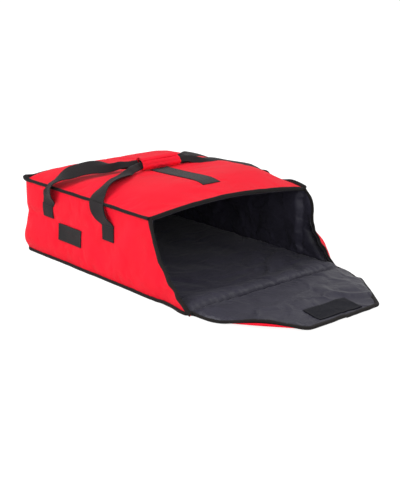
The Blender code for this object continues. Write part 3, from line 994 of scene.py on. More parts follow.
def top_half(y):
    """Half the top's width at y, with its nearly square rear corners."""
    past = max(0.0, y - (REAR_Y - CORNER_RADIUS))
    half_round = math.sqrt(max(0.0, CORNER_RADIUS**2 - past**2))
    return HALF_WIDTH - CORNER_RADIUS + mix(half_round, CORNER_RADIUS, CORNER_SQUARE[1])


def crown(x, y):
    """The dome above its side seams: a round arch at the mouth, and boxy behind it."""
    share = min(1.0, max(0.0, (y - FOLD_Y) / (REAR_Y - FOLD_Y)))
    side = LEFT if x < 0 else RIGHT
    rise = eased(RISES, share)
    rise -= (rise - REAR_RISE) * fade(REAR_Y - y, 0.010) * ramp(share, 0.5, 0.9)
    out = min(1.0, abs(x) / CROWN_HALF)
    level = seam_rise(y - FOLD_Y, side) * out**2 - MOUTH_TILT * x / CROWN_HALF * (1 - share) * (1 - out)
    return (1 - out ** eased(SHOULDERS[side], share)) * rise + level


# %% [markdown]
# The rear wall goes from corner seam to corner seam, so its place function walks on along the plan and
# turns back at the middle of the rear.

# %% The rear wall
def rear_place(low, high, inward, margin=0.0):
    def place(u, v):
        walked = mix(margin - REAR_RUN, REAR_RUN - margin, u)
        side = LEFT if walked <= 0 else RIGHT
        run = WALL_RUN + REAR_RUN - abs(walked)
        height = mix(low, high + crown(plan(run)[0].x, REAR_Y), v)
        middle = wall_point(run, height, LEFT, inward)
        other = wall_point(run, height, RIGHT, inward)
        share = 0.5 + 0.5 * math.copysign(ramp(abs(walked), 0, REAR_RUN), walked)
        point = handed(middle, side)
        point.y = mix(middle.y, other.y, share)
        return point, walked, height

    return place


REAR_FLAT = (2 * REAR_RUN, TOP_Z)
rear = cloth_sheet("rear_wall_cloth", cells_of(*REAR_FLAT), rear_place(EDGE_LOW, EDGE_HIGH, 0.0),
                   RED_CLOTH, (0, 1, 0), 2)
settle(rear, slack=0.012, swell=1.2, cap=0.004)
rear_inner = cloth_sheet("rear_wall_lining_cloth", cells_of(*REAR_FLAT),
                         rear_place(LINING_LOW, LINING_HIGH, PADDING_DEPTH), LINING, (0, -1, 0), 6)
settle(rear_inner, slack=0.03, swell=1.4, cap=0.006)
for piece, thickness, slot, node in (
    (rear, CLOTH, "red_cloth", "rear_wall_outer"),
    (rear_inner, LINING_CLOTH, "lining", "rear_wall_lining"),
):
    thicken(piece, thickness)
    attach(stand_for(piece, slot, node), "bag")
    declare_sheet(piece)
batt("rear_wall_batt", cells_of(*REAR_FLAT, BATT_CELL),
     rear_place(BATT_LOW, BATT_HIGH, BATT_INSET, BATT_MARGIN), "bag", (0, 1, 0), ["rear_wall_insulation"])

# %% [markdown]
# The top cloth is cut to the plan and laid on the dome, with slow folds of its own. The simulation gives
# it the small puckers along the seams, and the loop tape and the grip's shade lie on it later.

# %% The domed top
LINING_DROP = 0.0098
LOOP_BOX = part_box("closure_loop_strip")
TOP_FLAT = (2 * HALF_WIDTH, REAR_Y - FOLD_Y)


def top_height(x, y):
    edge = min(top_half(y) - abs(x), REAR_Y - y)
    folds = 0.0016 * wander((x, y * 0.8, 0), 0.11, 21.0) + 0.0007 * wander((x, y, 0), 0.035, 23.0)
    return TOP_Z + crown(x, y) - SEAM_DIVE * fade(edge, 0.006) + folds * (1 - fade(edge, 0.03))


def top_place(drop=0.0, margin=0.0010, depth=0.0):
    def place(u, v):
        y = mix(FOLD_Y + margin + depth, REAR_Y - margin - depth, v)
        x = mix(-1, 1, u) * (top_half(y) - margin - depth)
        y += mouth_draw(x) * fade(y - FOLD_Y, 0.03)
        return Vector((x, y, top_height(x, y) - drop)), x, y

    return place


def give_way(piece):
    """Attaches anything on the top to the bag and gives it a mesh of its own."""
    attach(piece, "bag")
    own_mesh(piece)
    return piece


def under_loop_strip(x, y):
    low, high = LOOP_BOX
    return low.x <= x <= high.x and low.y <= y <= high.y


top = cloth_sheet("top_cloth", cells_of(*TOP_FLAT, 0.0036), top_place(), RED_CLOTH, (0, 0, 1), 3)
settle(top, under_loop_strip, slack=0.004, swell=0.6, cap=0.002)
top_inner = cloth_sheet("top_lining_cloth", cells_of(*TOP_FLAT, 0.005), top_place(LINING_DROP, 0.004, 0.003),
                        LINING, (0, 0, -1), 7)
settle(top_inner, slack=0.02, swell=1.0, cap=0.005)
for piece, thickness, slot, node in (
    (top, CLOTH, "red_cloth", "top_outer"),
    (top_inner, LINING_CLOTH, "lining", "top_lining"),
):
    thicken(piece, thickness)
    give_way(stand_for(piece, slot, node))
    declare_sheet(piece)
give_way(batt("top_batt", cells_of(*TOP_FLAT, BATT_CELL), top_place(0.0036, 0.003, 0.022), None, (0, 0, 1),
              ["top_insulation"]))

# %% [markdown]
# The front panel's outline is drawn once, as a few corners with rounded turns, and both its cloths and
# its binding follow it. The left shoulder is smooth. The right side runs in a little, and has a small
# nick at its shoulder, where the binding was gathered.

# %% The outline of the front panel
TIP_HALF = 0.0940
PANEL_HALF = HALF_WIDTH + 0.0015
OUTLINE_STEP = 0.0028
TURN_STEPS = 6
LEFT_CORNERS = [(-PANEL_HALF, SEAM_Y, 0.0), (-0.2085, -0.4040, 0.026), (-0.1680, -0.4700, 0.028),
                (-0.1020, TIP_Y - 0.0035, 0.010)]
RIGHT_CORNERS = [(TIP_HALF, TIP_Y, 0.010), (0.1880, -0.4150, 0.003), (0.1840, -0.4060, 0.003),
                 (0.2020, -0.3660, 0.014), (0.2055, SEAM_Y, 0.0)]


def rounded(corners):
    """A line through (x, y, turn) corners, each turn a curve that starts and ends that far from it."""
    line = []
    for i, (x, y, turn) in enumerate(corners):
        here = Vector((x, y))
        if not turn:
            line.append(here)
            continue
        before = (Vector(corners[i - 1][:2]) - here).normalized() * turn
        after = (Vector(corners[i + 1][:2]) - here).normalized() * turn
        for step in range(TURN_STEPS + 1):
            t = step / TURN_STEPS
            line.append(here + before * (1 - t) ** 2 + after * t * t)
    return line


def even(line, step):
    """The same line with points at even steps."""
    reach = [0.0]
    for a, b in zip(line, line[1:]):
        reach.append(reach[-1] + (b - a).length)
    count = max(2, round(reach[-1] / step))
    made, i = [], 0
    for n in range(count + 1):
        walked = reach[-1] * n / count
        while i < len(line) - 2 and reach[i + 1] < walked:
            i += 1
        made.append(line[i].lerp(line[i + 1], (walked - reach[i]) / (reach[i + 1] - reach[i])))
    return made


OUTLINE = even(rounded(LEFT_CORNERS + RIGHT_CORNERS), OUTLINE_STEP)
HALVES = {LEFT: [p for p in OUTLINE if p.x < 0], RIGHT: [p for p in OUTLINE if p.x > 0]}


def panel_half(y, side):
    """Half the panel's width at y on one side, between its tip and the seam."""
    for a, b in zip(HALVES[side], HALVES[side][1:]):
        if min(a.y, b.y) <= y <= max(a.y, b.y) and abs(a.y - b.y) > 1e-7:
            return abs(mix(a.x, b.x, (y - a.y) / (b.y - a.y)))
    return TIP_HALF - 0.006 if y < BEND_Y else abs(HALVES[side][-side].x)


print("the outline has", len(OUTLINE), "points")

# %% [markdown]
# The lining over the front panel is the plumpest surface of all. The lower field swells to a ridge that
# hangs over the stitched seam, the upper field starts low in the seam's groove and is flatter, and both
# are puckered along it. Height functions say so, and the simulation adds the small folds.

# %% The heights of the floor and the front panel
RIDGE = {"rise": 0.0066, "behind": 0.015, "reach": 0.030}
GROOVE_DEPTH = 0.0125
FIELD_TOP = 0.0150
GROOVE_Z = 0.0052
BORDER_Z = 0.0062
BOTTOM_CLOTH_Z = 0.0016
CHAMFER_LIFT = {LEFT: 0.0110, RIGHT: 0.0015}
BELLY_OUT = 0.0085
CHAMFER_WAY = Vector((-0.777, -0.629, 0))
PUCKER = 0.036


def pucker(x, seed):
    """Rounded swells with sharp valleys between them, wide and narrow ones mixed."""
    wide = abs(math.sin(math.pi * x / PUCKER + 3.0 * wander((x, 0, 0), 0.07, seed)))
    narrow = abs(math.sin(math.pi * x / (0.4 * PUCKER) + 3.0 * wander((x, 0.4, 0), 0.04, seed)))
    return 0.72 * wide + 0.28 * narrow


def edge_lift(y, side):
    """How far the panel's chamfered edges curl up from the floor."""
    return CHAMFER_LIFT[side] * bump(y, -0.482, 0.043)


def floor_half(y, side, inset):
    """Half the width of the bottom's lining, which widens to the gusset's foot in front of the fold."""
    behind = top_half(min(y + inset, REAR_Y)) - inset
    ahead = mix(HALF_WIDTH, panel_half(SEAM_Y, side), ramp(FOLD_Y - y, 0, FOLD_Y - SEAM_Y))
    ahead += floor_lean(y - FOLD_Y, side) * (1 - ramp(FOLD_Y - y, 0.09, 0.115)) - 0.0020
    return mix(behind, ahead, ramp(FOLD_Y - y, -0.004, 0.012))


def inner_floor(x, y):
    """The height of the bottom lining, a little plump between its seams."""
    edge = min(floor_half(y, LEFT, PADDING_DEPTH) - abs(x), REAR_Y - PADDING_DEPTH - y)
    plump = 0.0022 * (1 - fade(edge, 0.02)) * ramp(y, FOLD_Y - 0.01, FOLD_Y + 0.05)
    folds = 0.0012 * wander((x, y, 0), 0.06, 31.0) + 0.0012 * crumple((x, y, 0), 0.07, 35.0)
    return FLOOR_CLOTH_Z + plump + folds


def lower_field(x, y):
    behind = y - SEAM_Y
    side = LEFT if x < 0 else RIGHT
    edge = floor_half(y, side, PADDING_DEPTH) - abs(x)
    rise = RIDGE["rise"] * bump(behind, RIDGE["behind"], RIDGE["reach"])
    groove = GROOVE_DEPTH * fade(behind, 0.0042)
    gathered = fade(behind - 0.006, 0.020)
    folds = 0.0036 * (pucker(x + 0.3 * behind, 41.0) - 0.6) * gathered * ramp(behind, -0.002, 0.004)
    folds += 0.0016 * wander((x, y, 0), 0.055, 43.0) * ramp(behind, 0, 0.03)
    folds += 0.0018 * crumple((x, y * 1.3, 0), 0.050, 45.0) * ramp(behind, 0.004, 0.03)
    plump = FLOOR_CLOTH_Z + 0.0006 + rise + folds - groove
    return mix(plump, BORDER_Z, fade(edge, 0.006))


def floor_height(x, y):
    """The lining's height from the rear seam to the stitched seam of the front panel."""
    return mix(inner_floor(x, y), lower_field(x, y), ramp(FOLD_Y - y, -0.012, 0.012))


def upper_field(x, y):
    ahead = SEAM_Y - y
    side = LEFT if x < 0 else RIGHT
    edge = min(panel_half(y, side) - abs(x), (y - TIP_Y))
    level = mix(GROOVE_Z, FIELD_TOP, 1 - fade(ahead, 0.0065)) - 0.0105 * ramp(ahead, 0.11, 0.195)
    gathered = fade(ahead - 0.005, 0.018)
    folds = 0.0026 * (pucker(x - 0.2 * ahead, 47.0) - 0.6) * gathered * ramp(ahead, -0.002, 0.004)
    folds += 0.0018 * wander((x, y, 0), 0.06, 49.0) * ramp(ahead, 0, 0.03)
    folds += 0.0022 * crumple((x, y, 0), 0.060, 51.0) * ramp(ahead, 0.004, 0.03)
    return mix(level + folds, BORDER_Z + edge_lift(y, side) - 0.001, fade(edge - 0.002, 0.011))


def belly(x, y):
    """The red underside, which lies on the floor and curves up to the border."""
    side = LEFT if x < 0 else RIGHT
    edge = min(panel_half(y, side) - abs(x), y - TIP_Y)
    return BOTTOM_CLOTH_Z + (edge_lift(y, side) + 0.001) * fade(edge, 0.008)


def belly_place(u, v):
    """The underside bellies out below the tape where the left chamfer curls up."""
    point, across, along = upper_place(belly)(u, v)
    side = LEFT if u < 0.5 else RIGHT
    near = fade(min(panel_half(along, side) - abs(across), along - TIP_Y), 0.008)
    out = BELLY_OUT * 4 * near * (1 - near) * edge_lift(along, side) / CHAMFER_LIFT[LEFT]
    return point + CHAMFER_WAY * (out if side == LEFT else 0.0), across, along


# %% [markdown]
# The bottom and the front panel's lower field are one cloth and one lining that bend with the fold. The
# upper field and the tongue are another pair, which bends with the tongue. The two pairs meet in the
# groove of the seam, which is where the real cloths are stitched together.

# %% The bottom and the front panel
FOLD_REACH = 0.008
PANEL_INSET = 0.0012
FLOOR_FLAT = (2 * HALF_WIDTH, REAR_Y - SEAM_Y)
UPPER_FLAT = (2 * PANEL_HALF, SEAM_Y - TIP_Y)
HOOK_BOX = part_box("closure_hook_strip")
BENDS = {"lower": ("bag", "front_panel", FOLD_Y), "upper": ("front_panel", "tongue", BEND_Y)}


def bend(piece, field):
    first, second, y = BENDS[field]
    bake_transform(piece, first, second, start=(0, y + FOLD_REACH, 0), end=(0, y - FOLD_REACH, 0))


def floor_place(height, inset):
    def place(u, v):
        y = mix(SEAM_Y, REAR_Y - inset, v)
        side = LEFT if u < 0.5 else RIGHT
        x = mix(-1, 1, u) * floor_half(y, side, inset)
        return Vector((x, y, height(x, y))), x, y

    return place


def upper_place(height):
    def place(u, v):
        y = mix(TIP_Y + PANEL_INSET, SEAM_Y, v)
        side = LEFT if u < 0.5 else RIGHT
        x = mix(-1, 1, u) * (panel_half(y, side) - PANEL_INSET)
        return Vector((x, y, height(x, y))), x, y

    return place


def under_hook_strip(x, y):
    low, high = HOOK_BOX
    return low.x <= x <= high.x and low.y <= y <= high.y


floor_lining = cloth_sheet("floor_lining_cloth", cells_of(*FLOOR_FLAT, 0.0034),
                           floor_place(floor_height, PADDING_DEPTH), LINING, (0, 0, 1), 10)
settle(floor_lining, slack=0.030, swell=1.4, cap=0.0035)
panel_lining = cloth_sheet("front_panel_lining_cloth", cells_of(*UPPER_FLAT, 0.003),
                           upper_place(upper_field), LINING, (0, 0, 1), 11)
settle(panel_lining, under_hook_strip, slack=0.030, swell=1.4, cap=0.0035)
floor_cloth = cloth_sheet("floor_cloth", cells_of(*FLOOR_FLAT, 0.006),
                          floor_place(lambda x, y: BOTTOM_CLOTH_Z, 0.0005), RED_CLOTH, (0, 0, -1), 12)
panel_cloth = cloth_sheet("front_panel_cloth", cells_of(*UPPER_FLAT, 0.0030), belly_place,
                          RED_CLOTH, (0, 0, -1), 13)
for piece, thickness, field, slot, pad, nodes in (
    (floor_lining, LINING_CLOTH, "lower", "lining", "bottom_batt",
     ["bottom_lining", "front_panel_lower_lining"]),
    (panel_lining, LINING_CLOTH, "upper", "lining", "front_panel_upper_batt",
     ["front_panel_upper_lining", "tongue_lining"]),
    (floor_cloth, CLOTH, "lower", "red_cloth", "bottom_batt", ["bottom_outer", "front_panel_outer"]),
    (panel_cloth, CLOTH, "upper", "red_cloth", "front_panel_upper_batt",
     ["front_panel_outer", "tongue_outer"]),
):
    thicken(piece, thickness)
    stand_for(piece, slot, *nodes)
    bend(piece, field)
    declare_sheet(piece)

# %% [markdown]
# Three fibre pads fill the bottom, the lower field and the upper field. The upper one reaches into the
# tongue and bends with it.

# %% Pads of the bottom and the front panel
PAD_HALF = HALF_WIDTH - 0.026
PAD_Z = 0.0034


def flat_pad_place(first, last):
    def place(u, v):
        y = mix(first, last, v)
        x = mix(-1, 1, u) * min(PAD_HALF, panel_half(y, RIGHT) - 0.026 if y < SEAM_Y else PAD_HALF)
        return Vector((x, y, PAD_Z)), x, y

    return place


for name, first, last, nodes in (
    ("bottom", FOLD_Y + 0.010, REAR_Y - 0.026, ["bottom_insulation"]),
    ("front_panel_lower", SEAM_Y + 0.014, FOLD_Y - 0.010, ["front_panel_lower_insulation"]),
    ("front_panel_upper", TIP_Y + 0.055, SEAM_Y - 0.018,
     ["front_panel_upper_insulation", "tongue_insulation"]),
):
    body = "bag" if name == "bottom" else "front_panel" if "lower" in name else None
    pad = batt(f"{name}_batt", cells_of(2 * PAD_HALF, last - first, BATT_CELL),
               flat_pad_place(first, last), body, (0, 0, -1), nodes)
    if not body:
        bend(pad, "upper")
print("the front panel lies open")

# %% [markdown]
# Every edge of the bag is bound with a folded tape. Seen from outside it is a soft roll, a few
# millimetres thick, that wanders a little. A grid is bent round into a tube for it, its ends are
# closed, and its place function moves a rounded section along the seam.

# %% Rolled tapes
AROUND = 14
ROLL_STEP = 0.0030
ROLL_WIDE, ROLL_THICK = 0.0078, 0.0052
ROLL_SQUARE = 0.75


def oblong(turn, wide, thick):
    """A point of a rounded strip's section, as turn goes from 0 to 1 round it."""
    flat, tall = math.cos(2 * math.pi * turn), math.sin(2 * math.pi * turn)
    return (
        math.copysign(abs(flat) ** ROLL_SQUARE, flat) * wide / 2,
        math.copysign(abs(tall) ** ROLL_SQUARE, tall) * thick / 2,
    )


def close_tube(made):
    bmesh.ops.remove_doubles(made, verts=made.verts, dist=1e-6)
    open_edges = [edge for edge in made.edges if edge.is_boundary]
    bmesh.ops.holes_fill(made, edges=open_edges, sides=0)
    bmesh.ops.recalc_face_normals(made, faces=made.faces)


def roll(name, length, seat, wide=ROLL_WIDE, thick=ROLL_THICK, gathered=None):
    """A rolled tape: seat(share) gives its middle, its wide direction and its thick direction."""
    seed = sum(map(ord, name)) % 97

    def place(u, v):
        middle, across, through = seat(v)
        lump = 1 + 0.10 * wander((v * length, 0, 0), 0.022, seed) + (gathered(v) if gathered else 0.0)
        flat, tall = oblong(u, wide * lump, thick * lump)
        return middle + across * flat + through * tall, flat, v * length

    made = flat_grid((AROUND, max(2, round(length / ROLL_STEP))), place, seed)
    close_tube(made)
    return new_piece(name, made, BINDING_TAPE)


def along_points(points):
    """A function from a share to the point and direction that far along a line of points."""
    last = len(points) - 1

    def at(share):
        place = min(max(share, 0.0), 1.0) * last
        i = min(int(place), last - 1)
        here = points[i].lerp(points[i + 1], place - i)
        before, after = points[max(i - 1, 0)], points[min(i + 2, last)]
        return here, (after - before).normalized()

    return at


def length_of(points):
    return sum((b - a).length for a, b in zip(points, points[1:]))


# %% [markdown]
# The top binding stands out and up from the top seam, and is gathered to a lump at the left rear corner.
# The bottom binding lies on the floor. Both go from the fold on the left, round the rear, to the fold on
# the right. The bottom one continues in front of the fold, along the foot of the gussets.

# %% The top and bottom bindings
TOP_ROLL_OUT, TOP_ROLL_Z = 0.0018, 0.1622
MOUTH_LUMP, CORNER_LUMP, RIGHT_SINK = 0.0016, 0.0026, 0.0036
BOTTOM_ROLL_OUT, BOTTOM_ROLL_Z = 0.0012, 0.0036
UP = Vector((0, 0, 1))
ROUND_RUN = 2 * (WALL_RUN + REAR_RUN)


def round_seam(walked, height, out_by):
    """(point, outward direction) on the seam that goes round the bag, walked from the left fold."""
    side = LEFT if walked <= ROUND_RUN / 2 else RIGHT
    run = walked if side == LEFT else ROUND_RUN - walked
    line, out = plan(run)
    blend_in = ramp(abs(walked - ROUND_RUN / 2), 0, REAR_RUN)
    lean = wall_out(run, height, side) if height > TOP_Z / 2 else floor_lean(run, side) * blend_in
    point = handed(line + out * (lean + out_by), side)
    point.z = height
    if height > TOP_Z / 2:
        point.z += crown(point.x, point.y)
    return point, handed(out, side)


def top_walk(share):
    return mix(mouth_draw(-HALF_WIDTH) - 0.001, ROUND_RUN + 0.001, share)


def top_gathered(share):
    """The top binding is thicker where it is gathered: at the left rear corner and right of the mouth."""
    left_to_go = ROUND_RUN - top_walk(share)
    return 0.9 * bump(top_walk(share), WALL_RUN, 0.012) + 0.75 * (1 - ramp(left_to_go, 0.030, 0.075))


def top_seat(share):
    walked = top_walk(share)
    point, out = round_seam(walked, TOP_ROLL_Z, TOP_ROLL_OUT)
    point.z += 0.0011 * wander((walked, 0, 0), 0.045, 61.0) + CORNER_LUMP * bump(walked, WALL_RUN, 0.011)
    left_to_go = ROUND_RUN - walked
    sunk = ramp(left_to_go, 0.035, 0.080) * ramp(WALL_RUN - left_to_go, 0.0, 0.05)
    point.z += MOUTH_LUMP * (1 - ramp(left_to_go, 0.030, 0.075)) - RIGHT_SINK * sunk
    across = (out * 0.55 + UP).normalized()
    return point, across, (out - UP * 0.55).normalized()


def bottom_seat(share):
    walked = ROUND_RUN * share
    point, out = round_seam(walked, BOTTOM_ROLL_Z, BOTTOM_ROLL_OUT)
    return point, out, UP


top_roll = roll("top_edge_tape", ROUND_RUN, top_seat, wide=0.0072, thick=0.0056, gathered=top_gathered)
bottom_roll = roll("bottom_edge_tape", ROUND_RUN, bottom_seat, wide=0.0066, thick=0.0068)
for piece, node in ((top_roll, "top_edge_binding"), (bottom_roll, "bottom_edge_binding")):
    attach(stand_for(piece, "binding", node), "bag")


FOOT_TURN = {LEFT: (0.97, 1.10), RIGHT: (0.45, 1.0)}


def foot_seat(side):
    def seat(share):
        run = mix(0.0, SEAM_Y - FOLD_Y + (-0.003 if side == RIGHT else -0.0125), share)
        ahead = -run / (FOLD_Y - SEAM_Y)
        half = mix(HALF_WIDTH + floor_lean(run, side) + BOTTOM_ROLL_OUT, panel_half(SEAM_Y, side) - 0.0030,
                   ramp(ahead, *FOOT_TURN[side]))
        lift = 0.0022 * bump(run, -0.055, 0.035) + 0.0008 * wander((run, 0, 0), 0.02, 65.0 + side)
        return Vector((side * half, FOLD_Y + run, BOTTOM_ROLL_Z + max(0.0, lift))), Vector((side, 0, 0)), UP

    return seat


for name, side in SIDES.items():
    foot = roll(f"front_panel_{name}_tape", FOLD_Y - SEAM_Y, foot_seat(side), wide=0.0066, thick=0.0068)
    stand_for(foot, "binding", f"front_panel_{name}_binding")
    bend(foot, "lower")
print("the top and the bottom are bound")

# %% [markdown]
# The mouth's upper edge has a flatter tape that arches with the dome. The slanted edges have the widest
# tape, which wanders most, because the cloth behind it is slack. It is cut where the gusset's crease
# meets it, like the cloth.

# %% The mouth's bindings
MOUTH_ROLL = {"wide": 0.0080, "thick": 0.0058}
SLANT_ROLL = {"wide": 0.0108, "thick": 0.0050}


def mouth_seat(share):
    x = mix(-HALF_WIDTH, HALF_WIDTH, share)
    z = top_height(x * 0.985, FOLD_Y + 0.0012) - 0.0016 + 0.0007 * wander((x, 0, 0), 0.03, 67.0)
    z -= 0.0022 * fade(HALF_WIDTH - x, 0.020)
    point = Vector((x, FOLD_Y + mouth_draw(x) - 0.0006, z))
    return point, Vector((0, -0.35, -1)).normalized(), Vector((0, -1, 0.35)).normalized()


mouth_roll = roll("mouth_edge_tape", 2 * HALF_WIDTH, mouth_seat, **MOUTH_ROLL)
give_way(stand_for(mouth_roll, "binding", "mouth_top_binding"))


def edge_point(share, side):
    forward, height, _ = slant(share, side)
    return wall_point(-forward, height, side, 0.0014)


def slant_seat(side, first, last):
    def seat(share):
        here = mix(first, last, share)
        ahead, behind = (edge_point(min(1.0, max(0.0, here + step)), side) for step in (0.01, -0.01))
        way = (ahead - behind).normalized()
        back = Vector((0, -way.z, way.y))
        back *= math.copysign(1, back.y or 1)
        across = (back - way * back.dot(way)).normalized()
        sway = 0.0022 * wander((here * 0.2, 0, 0), 0.024, 71.0 + side)
        return edge_point(here, side) + back * sway, across, way.cross(across)

    return seat


SLANT_LENGTH = length_of([slant(i / HALVINGS, LEFT) for i in range(HALVINGS + 1)])
SLANT_END = 0.985
for name, side in SIDES.items():
    for half, first, last, body, axis in (
        ("upper", 0.0, CREASE_SHARES[side], "bag", (0, 1, 0)),
        ("lower", CREASE_SHARES[side], SLANT_END, "front_panel", (0, 0, 1)),
    ):
        seat = slant_seat(side, first, last)
        strip = roll(f"{name}_slant_tape_{half}", SLANT_LENGTH * (last - first), seat, **SLANT_ROLL)
        stand_for(strip, "binding", f"{name}_gusset_{half}_binding")
        fold_away(strip, body)

# %% [markdown]
# One tape runs round the front panel in front of its seam. It follows the outline and curls up with the
# chamfered edges, and it bends with the tongue.

# %% The tape round the front panel
PANEL_ROLL = {"wide": 0.0092, "thick": 0.0060}
PANEL_ROLL_Z = 0.0036


def panel_seat(share):
    point, way = along_points(OUTLINE)(share)
    side = LEFT if point.x < 0 else RIGHT
    inward = Vector((-way.y, way.x, 0))
    z = PANEL_ROLL_Z + edge_lift(point.y, side) + 0.0007 * wander((share * 0.7, 0, 0), 0.03, 77.0)
    sway = 0.0008 * wander((share * 0.7, 0.3, 0), 0.025, 79.0)
    return Vector((point.x, point.y, max(z, PANEL_ROLL_Z))) + inward * (0.0030 + sway), inward, UP


panel_roll = roll("front_panel_edge_tape", length_of(OUTLINE), panel_seat, **PANEL_ROLL)
stand_for(panel_roll, "binding", "tongue_binding")
bend(panel_roll, "upper")
print("the mouth and the front panel are bound")

# %% [markdown]
# Hook and loop tapes, the blank patch and the webbing ends are flat strips sewn on the cloth. Each is
# laid on the same height function as the cloth below it, a little above, and gets a row of stitches
# round its border.

# %% Strips sewn on the cloth
STITCH = {"length": 0.0024, "width": 0.00055, "pitch": 0.0036}
SEWN_RISE = 0.0006


def laid_strip(name, low, high, surface, thickness, finish, facing, layer, raised=0.0):
    """A strip between two flat corners: surface(a, b, above) gives its points."""
    wide, long = high[0] - low[0], high[1] - low[1]

    def place(u, v):
        a, b = mix(low[0], high[0], u), mix(low[1], high[1], v)
        edge = min(a - low[0], high[0] - a, b - low[1], high[1] - b)
        above = SEWN_RISE + thickness + raised * fade(max(0.0, edge - 0.0015), 0.0012)
        return surface(a, b, above), a, b

    strip = cloth_sheet(name, cells_of(wide, long, 0.0022), place, finish, facing, layer)
    return thicken(strip, thickness + SEWN_RISE)


def stitch_row(points, normal, made):
    """Adds one small stitch at each pitch of a line of points to a growing mesh."""
    at, length = along_points(points), length_of(points)
    for i in range(max(1, int(length / STITCH["pitch"]))):
        place, way = at((i + 0.5) * STITCH["pitch"] / length)
        turn = Matrix((way, normal.cross(way), normal)).transposed().to_4x4()
        size = Matrix.Diagonal((STITCH["length"] / 2, STITCH["width"], STITCH["width"], 1))
        bmesh.ops.create_uvsphere(made, u_segments=6, v_segments=4, radius=1.0,
                                  matrix=Matrix.Translation(place) @ turn @ size)


def box_of_stitches(low, high, surface, inset, above):
    """The four sides of a stitched box as lines of points."""
    a, b, c, d = low[0] + inset, high[0] - inset, low[1] + inset, high[1] - inset
    corners = [(a, c), (b, c), (b, d), (a, d), (a, c)]
    sides = []
    for (x, y), (far_x, far_y) in zip(corners, corners[1:]):
        count = max(2, round(math.dist((x, y), (far_x, far_y)) / 0.004))
        shares = [i / count for i in range(count + 1)]
        sides.append([surface(mix(x, far_x, share), mix(y, far_y, share), above) for share in shares])
    return sides


def sewing(name, sides, normal, finish, body):
    made = bmesh.new()
    for side in sides:
        stitch_row(side, Vector(normal).normalized(), made)
    thread = new_piece(name, made, finish)
    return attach(thread, body)


def on_top(x, y, above):
    return Vector((x, y, top_height(x, y) + above))


def on_left_wall(y, z, above):
    return wall_point(y + SEWN_SHIFT - FOLD_Y, z, LEFT, -above)


def on_right_wall(y, z, above):
    return wall_point(y + SEWN_SHIFT - FOLD_Y, z, RIGHT, -above)


def on_upper_field(x, y, above):
    return Vector((x, y, upper_field(x, y) + above))


TAPE_THICKNESS = 0.0013
loop_low, loop_high = LOOP_BOX
loop = laid_strip("loop_tape", loop_low[:2], loop_high[:2], on_top, TAPE_THICKNESS, LOOP_FUZZ, (0, 0, 1), 14)
give_way(stand_for(loop, "loop_tape", "closure_loop_strip"))
hook_low, hook_high = HOOK_BOX
hook = laid_strip("hook_tape", hook_low[:2], hook_high[:2], on_upper_field, TAPE_THICKNESS, HOOK_ROWS,
                  (0, 0, 1), 15)
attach(stand_for(hook, "hook_tape", "closure_hook_strip"), "tongue")
patch_low, patch_high = PATCH_BOX
patch = laid_strip("side_patch", patch_low[1:], patch_high[1:], on_left_wall, 0.0012, PATCH_SKIN,
                   (-1, 0, 0), 16, 0.0007)
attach(stand_for(patch, "patch", "label_patch"), "bag")
for name, low, high, surface, normal, body, slot in (
    ("loop_tape_stitches", loop_low[:2], loop_high[:2], on_top, (0, 0, 1), "bag", "loop_tape"),
    ("hook_tape_stitches", hook_low[:2], hook_high[:2], on_upper_field, (0, 0, 1), "tongue", "hook_tape"),
    ("side_patch_stitches", patch_low[1:], patch_high[1:], on_left_wall, (-1, 0, 0), "bag", "patch"),
):
    sides = box_of_stitches(low, high, surface, 0.0026, SEWN_RISE + TAPE_THICKNESS)
    thread = sewing(name, sides, normal, DARK_THREAD, body)
    if surface is on_top:
        give_way(thread)

REAR_TAB_RAISED = 0.0050
WEB_THICKNESS = 0.0017
for strap in ("front", "rear"):
    for name, side in SIDES.items():
        low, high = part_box(f"{strap}_strap_{name}_end")
        surface = on_left_wall if side == LEFT else on_right_wall
        foot = low.z + (REAR_TAB_RAISED if strap == "rear" and side == LEFT else 0.0)
        tab = laid_strip(f"{strap}_strap_{name}_tab", (low.y, foot), (high.y, high.z + 0.001), surface,
                         WEB_THICKNESS, WEBBING, (side, 0, 0), 17)
        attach(stand_for(tab, "webbing", f"{strap}_strap_{name}_end"), "bag")
        sides = box_of_stitches((low.y, foot), high[1:], surface, 0.0035, SEWN_RISE + WEB_THICKNESS)
        sewing(f"{strap}_strap_{name}_stitches", sides, (side, 0, 0), DARK_THREAD, "bag")
print("tapes, patch and webbing ends are sewn on")
